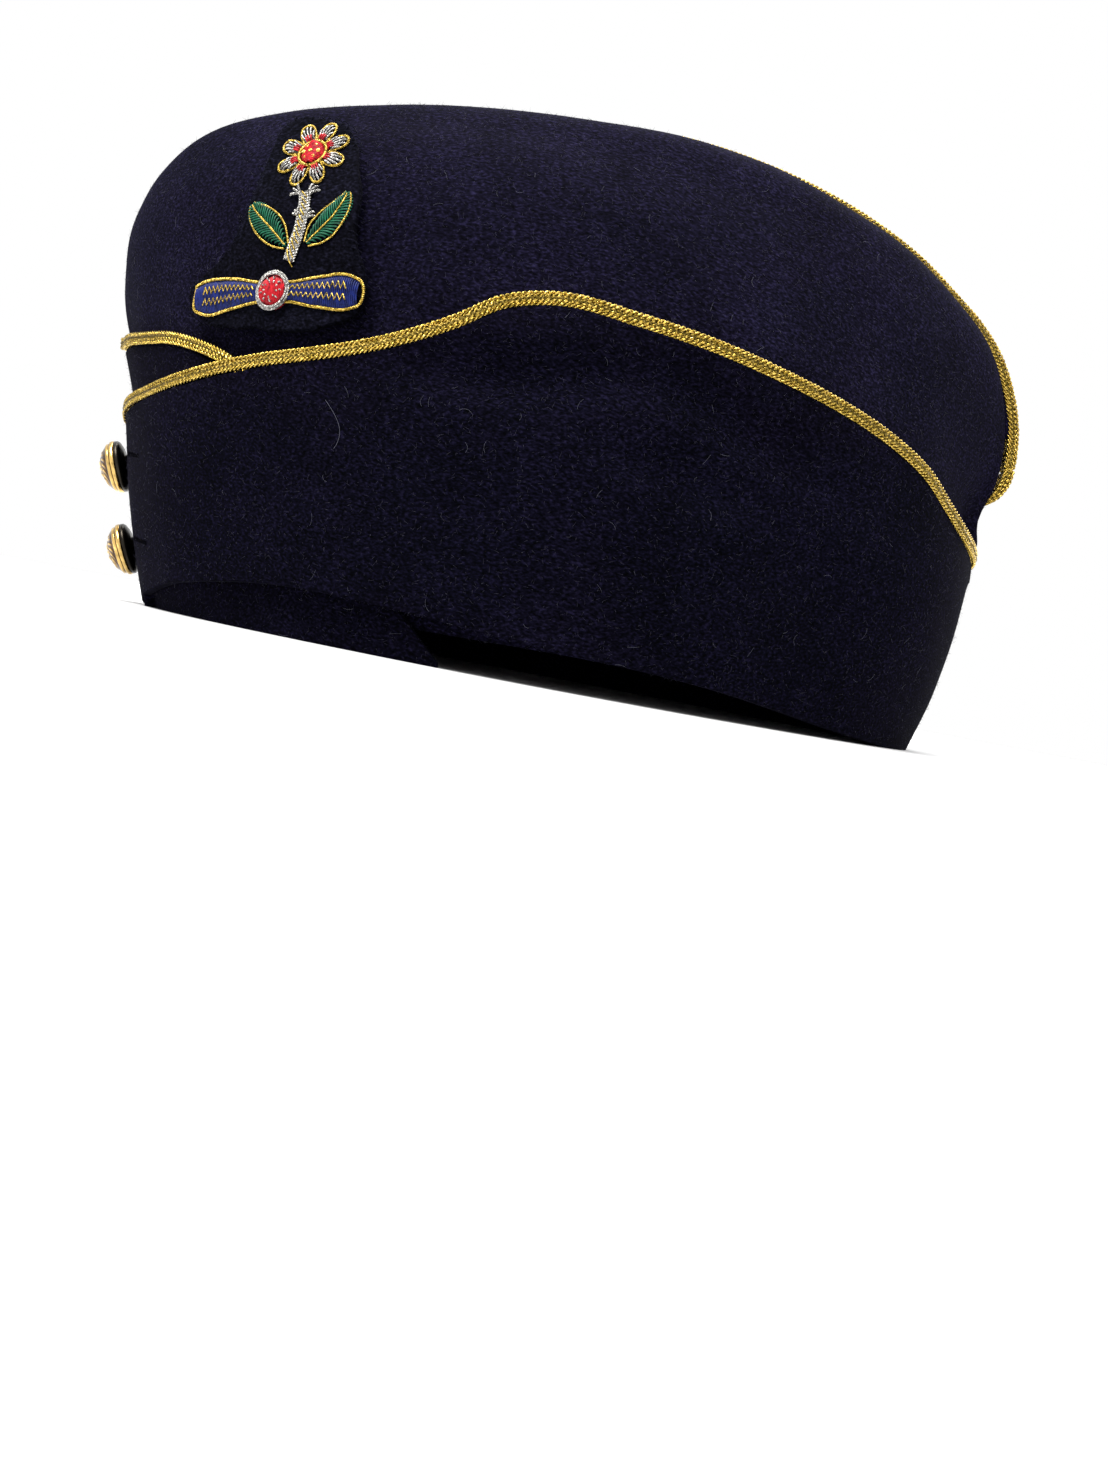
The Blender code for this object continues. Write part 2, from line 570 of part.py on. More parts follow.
def add_raised(name, outline, hub, low, high, rings, finish):
    """Flat piece laid over the panel. outline: shares on the patch, which hub sees all round."""
    bm = bmesh.new()
    count = len(outline)
    layers = []
    for out in (low, high):
        loops = []
        for ring in range(1, rings + 1):
            shares = [(blend(hub[0], a, ring / rings), blend(hub[1], b, ring / rings)) for a, b in outline]
            loops.append([bm.verts.new(on_patch(*patch_place(share), out)) for share in shares])
        middle = bm.verts.new(on_patch(*patch_place(hub), out))
        for i in range(count):
            j = (i + 1) % count
            bm.faces.new((middle, loops[0][i], loops[0][j]))
            for inner, outer in zip(loops, loops[1:]):
                bm.faces.new((inner[i], outer[i], outer[j], inner[j]))
        layers.append(loops[-1])
    for i in range(count):
        j = (i + 1) % count
        bm.faces.new((layers[0][i], layers[1][i], layers[1][j], layers[0][j]))
    return add_object(name, bm, finish)


def add_band(name, bands, low, high, finish):
    """Embroidered band with a middle line and a half width at each section."""
    sides = [[], [], []]
    for k, band in enumerate(bands):
        before, after = bands[max(k - 1, 0)], bands[min(k + 1, len(bands) - 1)]
        run = Vector(((after.across - before.across) * PATCH_WIDTH, (after.up - before.up) * PATCH_HEIGHT))
        square = Vector((-run.y, run.x)).normalized() * (band.half * PATCH_HEIGHT)
        a, b = patch_place(band)
        for side, share in zip(sides, (1, 0, -1)):
            side.append((a + square.x * share, b + square.y * share))
    faces = [[[on_patch(a, b, out) for a, b in side] for side in sides] for out in (high, low)]
    return add_wall(name, *faces, finish)


def badge():
    """Felt patch with a flower, a stem with two leaves and a bow in raised embroidery."""
    felt = PATCH_GAP + PATCH_WALL
    low, high = felt + STITCH_GAP, felt + STITCH_GAP + STITCH_RAISE
    add_raised("badge_patch", PATCH_OUTLINE, PATCH_HUB, PATCH_GAP, felt, 3, WOOL)
    petals = []
    for k in range(4 * PETALS):
        angle = 2 * math.pi * k / (4 * PETALS)
        reach = blend(PETAL_NOTCH, PETAL_REACH, abs(math.sin(angle * PETALS / 2)))
        petals.append((FLOWER.across + reach * math.cos(angle), FLOWER.up + reach * math.sin(angle)))
    add_raised("badge_petals", petals, FLOWER, low, high, 2, SILVER_THREAD)
    turns = [2 * math.pi * k / EYE_SIDES for k in range(EYE_SIDES)]
    eye = [(FLOWER.across + EYE_REACH * math.cos(t), FLOWER.up + EYE_REACH * math.sin(t)) for t in turns]
    low_eye = high + STITCH_GAP
    add_raised("badge_flower_centre", eye, FLOWER, low_eye, low_eye + STITCH_RAISE, 1, RED_THREAD)
    add_band("badge_stem", STEM, low, high, GOLD_THREAD)
    add_band("badge_leaf_front", FRONT_LEAF, low, high, GREEN_THREAD)
    add_band("badge_leaf_back", BACK_LEAF, low, high, GREEN_THREAD)
    add_band("badge_ribbon", RIBBON, low, high, BLUE_THREAD)


def clear_scene():
    for obj in list(bpy.data.objects):
        bpy.data.objects.remove(obj, do_unlink=True)


def centre_on_floor():
    """Moves everything so that the middle of its box stands over the origin, with its lowest point at z = 0."""
    bpy.context.view_layer.update()
    graph = bpy.context.evaluated_depsgraph_get()
    places = []
    for obj in bpy.data.objects:
        mesh = obj.evaluated_get(graph).to_mesh()
        places += [obj.matrix_world @ vert.co for vert in mesh.vertices]
    low, high = [Vector(pick(p[i] for p in places) for i in range(3)) for pick in (min, max)]
    for obj in bpy.data.objects:
        obj.location -= Vector(((low.x + high.x) / 2, (low.y + high.y) / 2, low.z))


def main():
    clear_scene()
    for name, side, edge in (("left", -1, LEFT_EDGE), ("right", 1, RIGHT_EDGE)):
        crown_panel("crown_" + name, side)
        crown_piping("crown_piping_" + name, side)
        flap("flap_" + name, side, edge)
        flap_piping("flap_piping_" + name, side, edge)
    crown_top()
    button("button_upper", BUTTON_UPPER_UP)
    button("button_lower", BUTTON_LOWER_UP)
    badge()
    centre_on_floor()


main()
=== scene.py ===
"""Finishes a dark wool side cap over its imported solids: napped cloth with soft dents, braided gold piping, gilt
buttons and a felt patch with raised embroidery. Lengths are in metres; the cap's front is towards -X and its left
side towards -Y."""

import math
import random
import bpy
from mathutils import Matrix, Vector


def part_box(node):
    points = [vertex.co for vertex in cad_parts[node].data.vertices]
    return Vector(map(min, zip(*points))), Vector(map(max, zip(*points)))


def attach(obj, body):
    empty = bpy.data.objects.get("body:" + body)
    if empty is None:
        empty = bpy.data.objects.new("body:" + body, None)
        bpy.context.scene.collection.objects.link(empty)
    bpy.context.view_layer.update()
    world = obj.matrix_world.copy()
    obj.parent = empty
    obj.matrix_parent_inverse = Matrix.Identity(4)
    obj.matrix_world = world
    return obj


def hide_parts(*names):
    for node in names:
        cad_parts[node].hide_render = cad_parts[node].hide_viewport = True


bl_info = {
    "name": "Side Cap Finish",
    "version": (1, 0, 0),
    "blender": (4, 5, 0),
    "location": "View3D > Sidebar > Side Cap",
    "description": "Cloth, braid, buttons and embroidery of a side cap, with a plain stage",
    "category": "Add Mesh",
}

from collections import namedtuple

import bmesh
import bpy
import numpy as np
from bpy.props import FloatProperty, FloatVectorProperty, IntProperty, PointerProperty
from mathutils import Matrix, Vector, noise
from mathutils.bvhtree import BVHTree

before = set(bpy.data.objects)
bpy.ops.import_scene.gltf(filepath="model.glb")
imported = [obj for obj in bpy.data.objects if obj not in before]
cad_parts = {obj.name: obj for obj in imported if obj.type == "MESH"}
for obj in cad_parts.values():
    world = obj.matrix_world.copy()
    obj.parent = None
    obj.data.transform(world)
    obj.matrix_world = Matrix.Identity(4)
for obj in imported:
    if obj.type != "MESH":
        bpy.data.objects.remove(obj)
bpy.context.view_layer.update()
BODY = "root"
MM = 0.001
BRAID_RADIUS = 1.6 * MM
TUBE_REACH = 3.6 * MM  # a little over the width of the solids' braid
MERGED = 0.01 * MM  # points of a solid that are closer than this are one
OUTSIDE_LEFT = -0.2  # a plane well outside the cap's left side, to look at it from

# The cap's middle plane and half sizes, from the frame
LEFT_LOW, LEFT_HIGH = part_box("crown_left")
RIGHT_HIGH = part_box("crown_right")[1]
MIDDLE_Y = (LEFT_LOW.y + RIGHT_HIGH.y) / 2
HALF_LENGTH = (LEFT_HIGH.x - LEFT_LOW.x) / 2
HALF_WIDTH = (RIGHT_HIGH.y - LEFT_LOW.y) / 2
CROWN_TOP = LEFT_HIGH.z

CLOTH_NODES = ("crown_left", "crown_right", "crown_top", "flap_left", "flap_right")
BRAID_NODES = ("crown_piping_left", "crown_piping_right", "flap_piping_left", "flap_piping_right")
BUTTON_NODES = ("button_upper", "button_lower")

Dent = namedtuple("Dent", "side x z length height turn depth")

# Soft dents and swells of the cloth: side -1 is the left. Lengths in millimetres, turn in degrees, depth inwards
DENTS = [
    Dent(-1, -16, 70, 20, 5, 4, 4.0),
    Dent(-1, -2, 80, 18, 4, 0, -1.2),
    Dent(-1, 15, 76, 15, 5, 0, 2.8),
    Dent(-1, 48, 70, 22, 6, -22, 3.6),
    Dent(-1, 34, 56, 24, 6, -10, 2.2),
    Dent(-1, 66, 40, 22, 10, -30, 1.0),
    Dent(-1, -70, 30, 22, 16, 30, 0.9),
    Dent(-1, -48, 88, 8, 24, -10, 1.6),
    Dent(-1, 12, 104, 46, 14, 6, 1.3),
    Dent(-1, 78, 96, 24, 18, -35, 1.0),
    Dent(-1, 128, 104, 18, 20, 0, 2.6),
    Dent(1, 128, 104, 18, 20, 0, 2.6),
    Dent(-1, 128, 69, 16, 8, 0, 3.6),
    Dent(1, 128, 69, 16, 8, 0, 3.6),
    Dent(-1, 116, 42, 22, 22, 0, -1.9),
    Dent(1, 116, 42, 22, 22, 0, -1.9),
    Dent(1, 0, 104, 50, 18, -4, 1.3),
    Dent(1, -66, 92, 22, 26, 20, 1.1),
    Dent(1, 30, 60, 24, 7, 14, 1.6),
    Dent(1, -30, 48, 26, 10, -15, 1.3),
]

Place = namedtuple("Place", "x rise")

# How far the cloth's upper edges and their braids stand above the solids' edges, along the cap, in millimetres
CROWN_EDGE = [Place(-132, -3.0), Place(-122, -1.9), Place(-110, -0.5), Place(-90, -1.5), Place(-60, -1.5),
              Place(-35, -0.8), Place(-15, 0.0), Place(-1, 0.6), Place(10, 1.8), Place(21, 2.5), Place(42, 2.2),
              Place(64, 1.4), Place(75, 1.5), Place(87, 1.8), Place(99, 1.3), Place(108, 1.7), Place(116, 2.2),
              Place(124, 0.6), Place(134, -0.8)]
FLAP_EDGE = [Place(-130, 1.0), Place(-109, 1.2), Place(-102, 0.8), Place(-84, 1.9), Place(-72, 3.0),
             Place(-44, 2.9), Place(-34, 2.8), Place(-25, 3.5), Place(-7, 3.6), Place(20, 3.4), Place(68, 3.5),
             Place(80, 3.8), Place(92, 3.1), Place(99, 2.6), Place(107, -0.8), Place(130, -2.5)]

# How far the right flap's end, which is tucked under the left flap, stands above the solid's
LAP_EDGE = [Place(-130, 0.0), Place(-112, 0.0), Place(-105, 1.5), Place(-96, 2.2), Place(-80, 2.4)]

# The wool of the top seams stands up in front of the braid, which lies further in there
SEAM_WOOL = [Place(-132, 0.0), Place(-120, 1.2), Place(-105, 2.6), Place(-60, 3.2), Place(45, 3.1), Place(70, 2.4),
             Place(100, 2.2), Place(117, 1.5), Place(127, 0.6)]
BRAID_IN = [Place(-132, 0.2), Place(-90, 0.3), Place(-50, 1.9), Place(60, 1.9), Place(105, 1.6), Place(124, 1.0),
            Place(130, 0.6)]

# How far below its upper edge the cloth still follows that edge
CROWN_REACH, SEAM_REACH, FLAP_REACH = 22 * MM, 9 * MM, 26 * MM

# The gusset's front point (its nose) and back point (its heel) move to fill the ends of the top seams, and its edges
# spread before the heel, and less at it. Spans are metres from the cap's middle, moves are millimetres
NOSE_SPAN, HEEL_SPAN, WIDE_SPAN = (0.108, 0.121), (0.119, 0.127), (0.094, 0.110)
NOSE_OUT, NOSE_DOWN = 4.6, 0.6
HEEL_OUT, HEEL_DOWN, HEEL_NARROW = 1.2, 1.2, 0.4
WIDE_OUT, WIDE_UP = 1.5, 1.4

# The right side's rim sags to the floor: how far past the floor it aims, where it stops, and how far up that fades
SAG_PAST, SAG_LOWEST, SAG_REACH = 0.6 * MM, -0.25 * MM, 60 * MM

# Braid: how far the strands weave in and out, how the back ends of the top seams' braids thin out, where the twisted
# chains run, in millimetres across the braid and out of it, and how far the flaps' braids stand off at the back
WEAVE = 0.22 * MM
THIN_SHARE, THIN_RUN = 0.75, 10 * MM
CHAIN_ROWS = ((-1.22, 0.85), (1.10, 0.98))
CHAIN_REACH, CHAIN_RADIUS = 0.30 * MM, 0.29 * MM
FLAP_PROUD, FLAP_PROUD_SPAN = 0.8 * MM, (0.100, 0.120)

# Last points of a braid, past the end of its solid: back, away from the middle plane and up, in millimetres
CROWN_TUCK = ((-0.9, 0.9, -4.0), (-2.6, 0.4, -6.8))
FLAP_TUCK = ((0.6, 0.9, -0.8),)

# Buttons, in shares of their radius and height. The gilt face starts at its foot, and its heights are over the foot
RIM_FOOT = 0.22
FACE_RIM = ((0, 0), (0.80, 0), (0.95, 0), (0.992, 0.03), (1, 0.09), (0.985, 0.16), (0.935, 0.19), (0.915, 0.20),
            (0.920, 0.24), (0.905, 0.31), (0.865, 0.34))
DOME_REACH, DOME_FOOT, DOME_RISE, DOME_RINGS = 0.85, 0.34, 0.34, 24
SHANK_REACH, SHANK_DEPTH = 0.42, 2.6 * MM
BUTTON_LEAN = -0.14  # turns the buttons towards the left
BUTTON_SHIFT = Vector((-0.8 * MM, 0, 1.2 * MM))
LEAF_HEIGHT = 0.34  # of the cast leaves, in millimetres

# Stitches of the slit behind a button, in millimetres from its seat
HOLE_STITCHES, HOLE_START, HOLE_STEP = 22, 4.0, 0.36
HOLE_UP, HOLE_SLOPE, HOLE_HALF = 2.6, 0.05, 0.55

# Patch, in shares of its own width and height from its middle
PATCH_LEAN = math.radians(10.8)
PATCH_OUTLINE = [
    (0.00, 0.50), (0.14, 0.49), (0.28, 0.44), (0.35, 0.32), (0.40, 0.17), (0.43, 0.00), (0.41, -0.12),
    (0.46, -0.23), (0.50, -0.32), (0.46, -0.43), (0.34, -0.475), (0.20, -0.50), (0.06, -0.49), (-0.08, -0.46),
    (-0.24, -0.43), (-0.40, -0.40), (-0.49, -0.32), (-0.49, -0.24), (-0.40, -0.18), (-0.27, -0.12),
    (-0.19, -0.02), (-0.14, 0.10), (-0.10, 0.24), (-0.08, 0.38), (-0.06, 0.46)]
EDGE_FRAY, EDGE_WAVE, EDGE_CURL, CURL_FROM = 0.22 * MM, 1.1 * MM, 1.2 * MM, 0.62
PATCH_CLEAR = 40 * MM  # a height well over the patch, to look down at it from
FLOWER = (0.150, 0.285)
PETAL_TURNS = [math.pi / 4 * (k + 0.5) for k in range(8)]
PETAL_REACH = 0.155
DISC_REACH, KNOT_REACH = 0.054, 0.061
BOSS_REACH = 4.7 * MM
KNOT = 4  # the ribbon's band that the boss covers
Band = namedtuple("Band", "across up half")
STEM = [Band(0.155, 0.095, 0.014), Band(0.160, 0.03, 0.014), Band(0.150, -0.06, 0.016), Band(0.125, -0.14, 0.020),
        Band(0.100, -0.20, 0.024)]
FRONT_LEAF = [Band(0.085, -0.14, 0.008), Band(0.045, -0.10, 0.040), Band(-0.005, -0.05, 0.056),
              Band(-0.060, 0.00, 0.050), Band(-0.100, 0.04, 0.030), Band(-0.120, 0.07, 0.006)]
BACK_LEAF = [Band(0.190, -0.14, 0.008), Band(0.225, -0.11, 0.040), Band(0.275, -0.07, 0.056),
             Band(0.325, -0.02, 0.048), Band(0.360, 0.03, 0.028), Band(0.375, 0.07, 0.006)]
RIBBON = [Band(-0.44, -0.285, 0.048), Band(-0.39, -0.290, 0.064), Band(-0.20, -0.300, 0.058),
          Band(-0.03, -0.318, 0.038), Band(0.03, -0.325, 0.045), Band(0.09, -0.330, 0.038),
          Band(0.25, -0.345, 0.058), Band(0.41, -0.355, 0.064), Band(0.455, -0.360, 0.048)]

# The photograph's view of the cap: distance from its middle plane, roll, focal length in pixels
VIEW_DISTANCE = 0.377
VIEW_ROLL = math.radians(10.777)
VIEW_FOCAL = 1300
VIEW_WIDTH = 1108
VIEW_BEHIND_NOSE = 0.1463
VIEW_UP = -0.0146
CAMERA_UP = 0.010

# Stage: the lights shine at one spot; places and sizes are in metres, powers in watts
FLOOR_HALF = 0.62
FLOOR_COLOUR = (0.56, 0.56, 0.56)
Light = namedtuple("Light", "name place size power")
LIGHTS = (Light("key", (-0.50, -0.50, 1.35), 0.9, 44), Light("top", (0.10, 0.35, 1.20), 1.0, 16),
          Light("back", (0.95, 0.55, 0.60), 0.7, 8))
LIT_SPOT = Vector((0, 0, 0.07))

# Nap: radii of its hairs, of the lint and of the long hair, and how dense the nap is inside the cap
NAP_RADIUS, LINT_RADIUS, HAIR_RADIUS = 0.040 * MM, 0.024 * MM, 0.05 * MM
INSIDE_SHARE = 0.12


class CapSizes(bpy.types.PropertyGroup):
    """Sizes of the finish, in metres unless they are counts."""

    strand_radius: FloatProperty(
        name="Strand radius", description="Radius of one strand of the braid", default=0.44 * MM, min=0.0001,
        subtype="DISTANCE", unit="LENGTH")
    strand_count: IntProperty(
        name="Strands", description="Strands that wind each way round the braid", default=6, min=3)
    braid_pitch: FloatProperty(
        name="Braid pitch", description="Length of one turn of a strand", default=8.4 * MM, min=0.002,
        subtype="DISTANCE", unit="LENGTH")
    bead_pitch: FloatProperty(
        name="Bead pitch", description="Distance between the beads of the chains on the braid's edges",
        default=1.30 * MM, min=0.0005, subtype="DISTANCE", unit="LENGTH")
    thread_radius: FloatProperty(
        name="Thread radius", description="Radius of an embroidery thread", default=0.25 * MM, min=0.00005,
        subtype="DISTANCE", unit="LENGTH")
    ripple: FloatProperty(
        name="Ripple", description="Height of the cloth's soft unevenness", default=0.55 * MM, min=0,
        subtype="DISTANCE", unit="LENGTH")
    nap_count: IntProperty(
        name="Nap hairs", description="Short hairs that stand out of the wool", default=48000, min=0)
    nap_length: FloatProperty(
        name="Nap length", description="Length of a nap hair", default=1.3 * MM, min=0.0001,
        subtype="DISTANCE", unit="LENGTH")
    lint_count: IntProperty(
        name="Lint", description="Loose pale fibres lying on the wool", default=560, min=0)


class CapColours(bpy.types.PropertyGroup):
    """Colours of the finish."""

    wool: FloatVectorProperty(
        name="Wool", description="Cloth of the cap", default=(0.0034, 0.0029, 0.0088), subtype="COLOR", min=0,
        max=1)
    felt: FloatVectorProperty(
        name="Felt", description="Patch and sewing threads", default=(0.0022, 0.0022, 0.0046), subtype="COLOR",
        min=0, max=1)
    braid: FloatVectorProperty(
        name="Gold", description="Metal thread of the piping and the embroidery", default=(0.42, 0.282, 0.034),
        subtype="COLOR", min=0, max=1)
    gilt: FloatVectorProperty(
        name="Gilt", description="Polished face of the buttons", default=(0.90, 0.60, 0.20), subtype="COLOR",
        min=0, max=1)
    # The back shell's near-black colour is a painted reflection of the dark cloth it faces.
    shell: FloatVectorProperty(
        name="Button back", description="Dark back of the buttons", default=(0.030, 0.026, 0.020), subtype="COLOR",
        min=0, max=1)
    silver: FloatVectorProperty(
        name="Silver thread", description="Petals, stem, buds and the boss's cords", default=(0.31, 0.30, 0.28),
        subtype="COLOR", min=0, max=1)
    red: FloatVectorProperty(
        name="Red thread", description="Middle of the flower, its petals' feet and the boss",
        default=(0.40, 0.007, 0.014), subtype="COLOR", min=0, max=1)
    green: FloatVectorProperty(
        name="Green thread", description="Leaves", default=(0.006, 0.090, 0.045), subtype="COLOR", min=0, max=1)
    blue: FloatVectorProperty(
        name="Blue thread", description="Bow", default=(0.006, 0.014, 0.110), subtype="COLOR", min=0, max=1)
    lint: FloatVectorProperty(
        name="Lint", description="Loose pale fibres", default=(0.055, 0.055, 0.08), subtype="COLOR", min=0, max=1)


# Materials


def new_material(name, colour, roughness, metallic=0.0):
    """Principled material; returns it with its node tree and its shader."""
    made = bpy.data.materials.new(name)
    made.use_nodes = True
    tree = made.node_tree
    shader = tree.nodes["Principled BSDF"]
    shader.inputs["Base Color"].default_value = (*colour, 1.0)
    shader.inputs["Roughness"].default_value = roughness
    shader.inputs["Metallic"].default_value = metallic
    return made, tree, shader


def add_noise(tree, scale, detail, stretch=(1, 1, 1), turn=0.0):
    """Noise on the piece's own coordinates, stretched along its axes and turned about Y."""
    place = tree.nodes.new("ShaderNodeTexCoord")
    mapping = tree.nodes.new("ShaderNodeMapping")
    mapping.inputs["Scale"].default_value = stretch
    mapping.inputs["Rotation"].default_value = (0, turn, 0)
    pattern = tree.nodes.new("ShaderNodeTexNoise")
    pattern.inputs["Scale"].default_value = scale
    pattern.inputs["Detail"].default_value = detail
    tree.links.new(place.outputs["Object"], mapping.inputs["Vector"])
    tree.links.new(mapping.outputs["Vector"], pattern.inputs["Vector"])
    return pattern.outputs["Fac"]


def add_ramp(tree, source, stops):
    """Colour ramp over source, stops are (place, colour)."""
    ramp = tree.nodes.new("ShaderNodeValToRGB")
    for k, (place, colour) in enumerate(stops):
        element = ramp.color_ramp.elements[k] if k < 2 else ramp.color_ramp.elements.new(place)
        element.position = place
        element.color = (*colour, 1.0)
    tree.links.new(source, ramp.inputs["Fac"])
    return ramp.outputs["Color"]


def add_bump(tree, shader, heights):
    """Chains bumps, heights are (source, strength, distance)."""
    normal = None
    for source, strength, distance in heights:
        bump = tree.nodes.new("ShaderNodeBump")
        bump.inputs["Strength"].default_value = strength
        bump.inputs["Distance"].default_value = distance
        tree.links.new(source, bump.inputs["Height"])
        if normal is not None:
            tree.links.new(normal, bump.inputs["Normal"])
        normal = bump.outputs["Normal"]
    tree.links.new(normal, shader.inputs["Normal"])


def shade(colour, factor):
    """The colour made darker or lighter by a factor."""
    return tuple(channel * factor for channel in colour)


def add_product(tree, first, second):
    """Two colours multiplied."""
    mix = tree.nodes.new("ShaderNodeMix")
    mix.data_type = "RGBA"
    mix.blend_type = "MULTIPLY"
    mix.inputs["Factor"].default_value = 1.0
    tree.links.new(first, mix.inputs["A"])
    tree.links.new(second, mix.inputs["B"])
    return mix.outputs["Result"]


def wool_material(name, colour, sheen):
    """Felted wool: fine fibres that catch the light, cloudy patches, a sheen at grazing angles."""
    made, tree, shader = new_material(name, colour, 0.95)
    fibres = add_noise(tree, 1700, 6, (0.55, 1.0, 1.0), 0.5)
    clumps = add_noise(tree, 520, 4)
    clouds = add_noise(tree, 45, 3)
    fine = add_ramp(tree, fibres, [(0.32, shade(colour, 0.15)), (0.50, shade(colour, 0.80)),
                                   (0.60, shade(colour, 1.70)), (0.76, shade(colour, 4.2))])
    broad = add_ramp(tree, clouds, [(0.30, (0.70, 0.70, 0.70)), (0.70, (1.25, 1.25, 1.22))])
    tree.links.new(add_product(tree, fine, broad), shader.inputs["Base Color"])
    shader.inputs["Sheen Weight"].default_value = sheen
    shader.inputs["Sheen Roughness"].default_value = 0.45
    shader.inputs["Sheen Tint"].default_value = (0.50, 0.52, 0.85, 1.0)
    shader.inputs["Specular IOR Level"].default_value = 0.02
    add_bump(tree, shader, [(fibres, 0.60, 0.22 * MM), (clumps, 0.20, 0.35 * MM)])
    return made


def metal_thread_material(name, colour, roughness=0.26):
    """Metal foil wound on thread: fine windings, and random flecks of dark and pale colour that are painted dark
    reflections and painted highlights.
    """
    made, tree, shader = new_material(name, colour, roughness, 0.92)
    flecks = add_noise(tree, 2600, 3)
    # The pale stop is a painted highlight and the darkest stop a painted dark reflection.
    pale = tuple(2.1 * channel + 0.24 * colour[0] for channel in colour)
    tone = add_ramp(tree, flecks, [(0.34, shade(colour, 0.22)), (0.50, shade(colour, 0.80)), (0.65, pale)])
    tree.links.new(tone, shader.inputs["Base Color"])
    add_bump(tree, shader, [(add_noise(tree, 2600, 2), 0.35, 0.12 * MM)])
    return made


def silk_material(name, colour):
    """Silk thread with a soft shine."""
    made, tree, shader = new_material(name, colour, 0.42)
    tone = add_ramp(tree, add_noise(tree, 900, 3), [(0.32, shade(colour, 0.40)), (0.70, shade(colour, 1.45))])
    tree.links.new(tone, shader.inputs["Base Color"])
    shader.inputs["Specular IOR Level"].default_value = 0.18
    add_bump(tree, shader, [(add_noise(tree, 2400, 2), 0.30, 0.10 * MM)])
    return made


def gilt_material(name, colour, roughness):
    """Polished metal with faint scratches and a little tarnish, and painted shade, near black, where the "clear"
    attribute is low.
    """
    made, tree, shader = new_material(name, colour, roughness, 1.0)
    tone = add_ramp(tree, add_noise(tree, 300, 3), [(0.36, shade(colour, 0.55)), (0.58, colour)])
    clear = tree.nodes.new("ShaderNodeAttribute")
    clear.attribute_name = "clear"
    # Near-black painted shade where the "clear" layer is low.
    painted_groove_shade = add_ramp(tree, clear.outputs["Fac"], [(0.15, (0.07, 0.04, 0.02)), (0.85, (1.0, 1.0, 1.0))])
    tree.links.new(add_product(tree, tone, painted_groove_shade), shader.inputs["Base Color"])
    add_bump(tree, shader, [(add_noise(tree, 3000, 3, (1, 1, 0.3)), 0.12, 0.05 * MM)])
    return made


# Geometry helpers


def ease(low, high, value):
    """0 below low, 1 above high and a soft step between."""
    t = min(max((value - low) / (high - low), 0.0), 1.0)
    return t * t * (3 - 2 * t)


def table(rows, x):
    """Value of a table of places at x, in metres, smoothed over 12 mm."""
    spots = x / MM + np.array([-6, -3, 0, 3, 6])
    return float(np.interp(spots, [row.x for row in rows], [row.rise for row in rows]).mean()) * MM


def edge_line(node):
    """Heights of the edge that carries a braid against x, on the braid's own side of the cap."""
    side = -1 if node.endswith("left") else 1
    kept = [(-1.0, 0.0)]
    for place in sorted(centre_line(node), key=lambda place: place.x):
        if (place.y - MIDDLE_Y) * side > 0 and place.x > kept[-1][0] + 0.1 * MM:
            kept.append((place.x, place.z))
    return np.array(kept[1:])


def raised(place, line, rows, reach):
    """A point lifted with the edge it belongs to, fading out over a reach below that edge."""
    top = float(np.interp(place.x, line[:, 0], line[:, 1])) - 2 * MM
    lift = table(rows, place.x) * ease(top - reach, top, place.z)
    return place + Vector((0, 0, lift))


def lapped(place):
    """A point of the right flap's tucked end, lifted with its edge."""
    return place + Vector((0, 0, table(LAP_EDGE, place.x) * ease(30 * MM, 60 * MM, place.z)))


def rim_line(node):
    """Heights of a panel's lower edge against x."""
    points = np.array([list(vert.co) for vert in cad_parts[node].data.vertices])
    points = points[points[:, 2] < 14 * MM]
    lowest = {}
    for x, _, z in points:
        lowest[round(x / (5 * MM))] = min(lowest.get(round(x / (5 * MM)), (1.0, 0.0)), (z, x))
    return np.array([(x, z) for z, x in sorted(lowest.values(), key=lambda pair: pair[1])])


def dented(place):
    """A point of the cap moved with the cloth's dents, the same for every layer and all that is sewn on."""
    sizes = bpy.context.scene.cap_sizes
    across = place.y - MIDDLE_Y
    away = Vector((place.x / HALF_LENGTH, across / HALF_WIDTH, 0))
    run = max(away.length, 0.25)
    push = sizes.ripple * (noise.noise(place * 26) + 0.45 * noise.noise(place * 74))
    for dent in DENTS:
        if across * dent.side <= 0:
            continue
        u, v = place.x / MM - dent.x, place.z / MM - dent.z
        turn = math.radians(dent.turn)
        a = (u * math.cos(turn) + v * math.sin(turn)) / dent.length
        b = (v * math.cos(turn) - u * math.sin(turn)) / dent.height
        push -= dent.depth * MM * math.exp(-a * a - b * b)
    return place + away / run * push


def new_object(name, data):
    """Object in the scene, at the origin."""
    made = bpy.data.objects.new(name, data)
    bpy.context.scene.collection.objects.link(made)
    return made


def add_piece(name, mesh, material, nodes=()):
    """Mesh object at the origin that rides on the cap and stands for CAD nodes."""
    mesh.materials.clear()
    mesh.materials.append(material)
    mesh.shade_smooth()
    piece = new_object(name, mesh)
    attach(piece, BODY)
    if nodes:
        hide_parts(*nodes)
    return piece


def evaluated_mesh(piece):
    """The piece's mesh with its modifiers or bevel applied; the piece itself is removed."""
    graph = bpy.context.evaluated_depsgraph_get()
    mesh = bpy.data.meshes.new_from_object(piece.evaluated_get(graph), depsgraph=graph)
    bpy.data.objects.remove(piece, do_unlink=True)
    return mesh


def made_mesh(name, bm):
    """Mesh of a bmesh, which is freed."""
    mesh = bpy.data.meshes.new(name)
    bm.to_mesh(mesh)
    bm.free()
    return mesh


def merged_solid(node):
    """Bmesh of a CAD node with its doubled points merged."""
    bm = bmesh.new()
    bm.from_mesh(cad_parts[node].data)
    bmesh.ops.remove_doubles(bm, verts=bm.verts, dist=MERGED)
    return bm


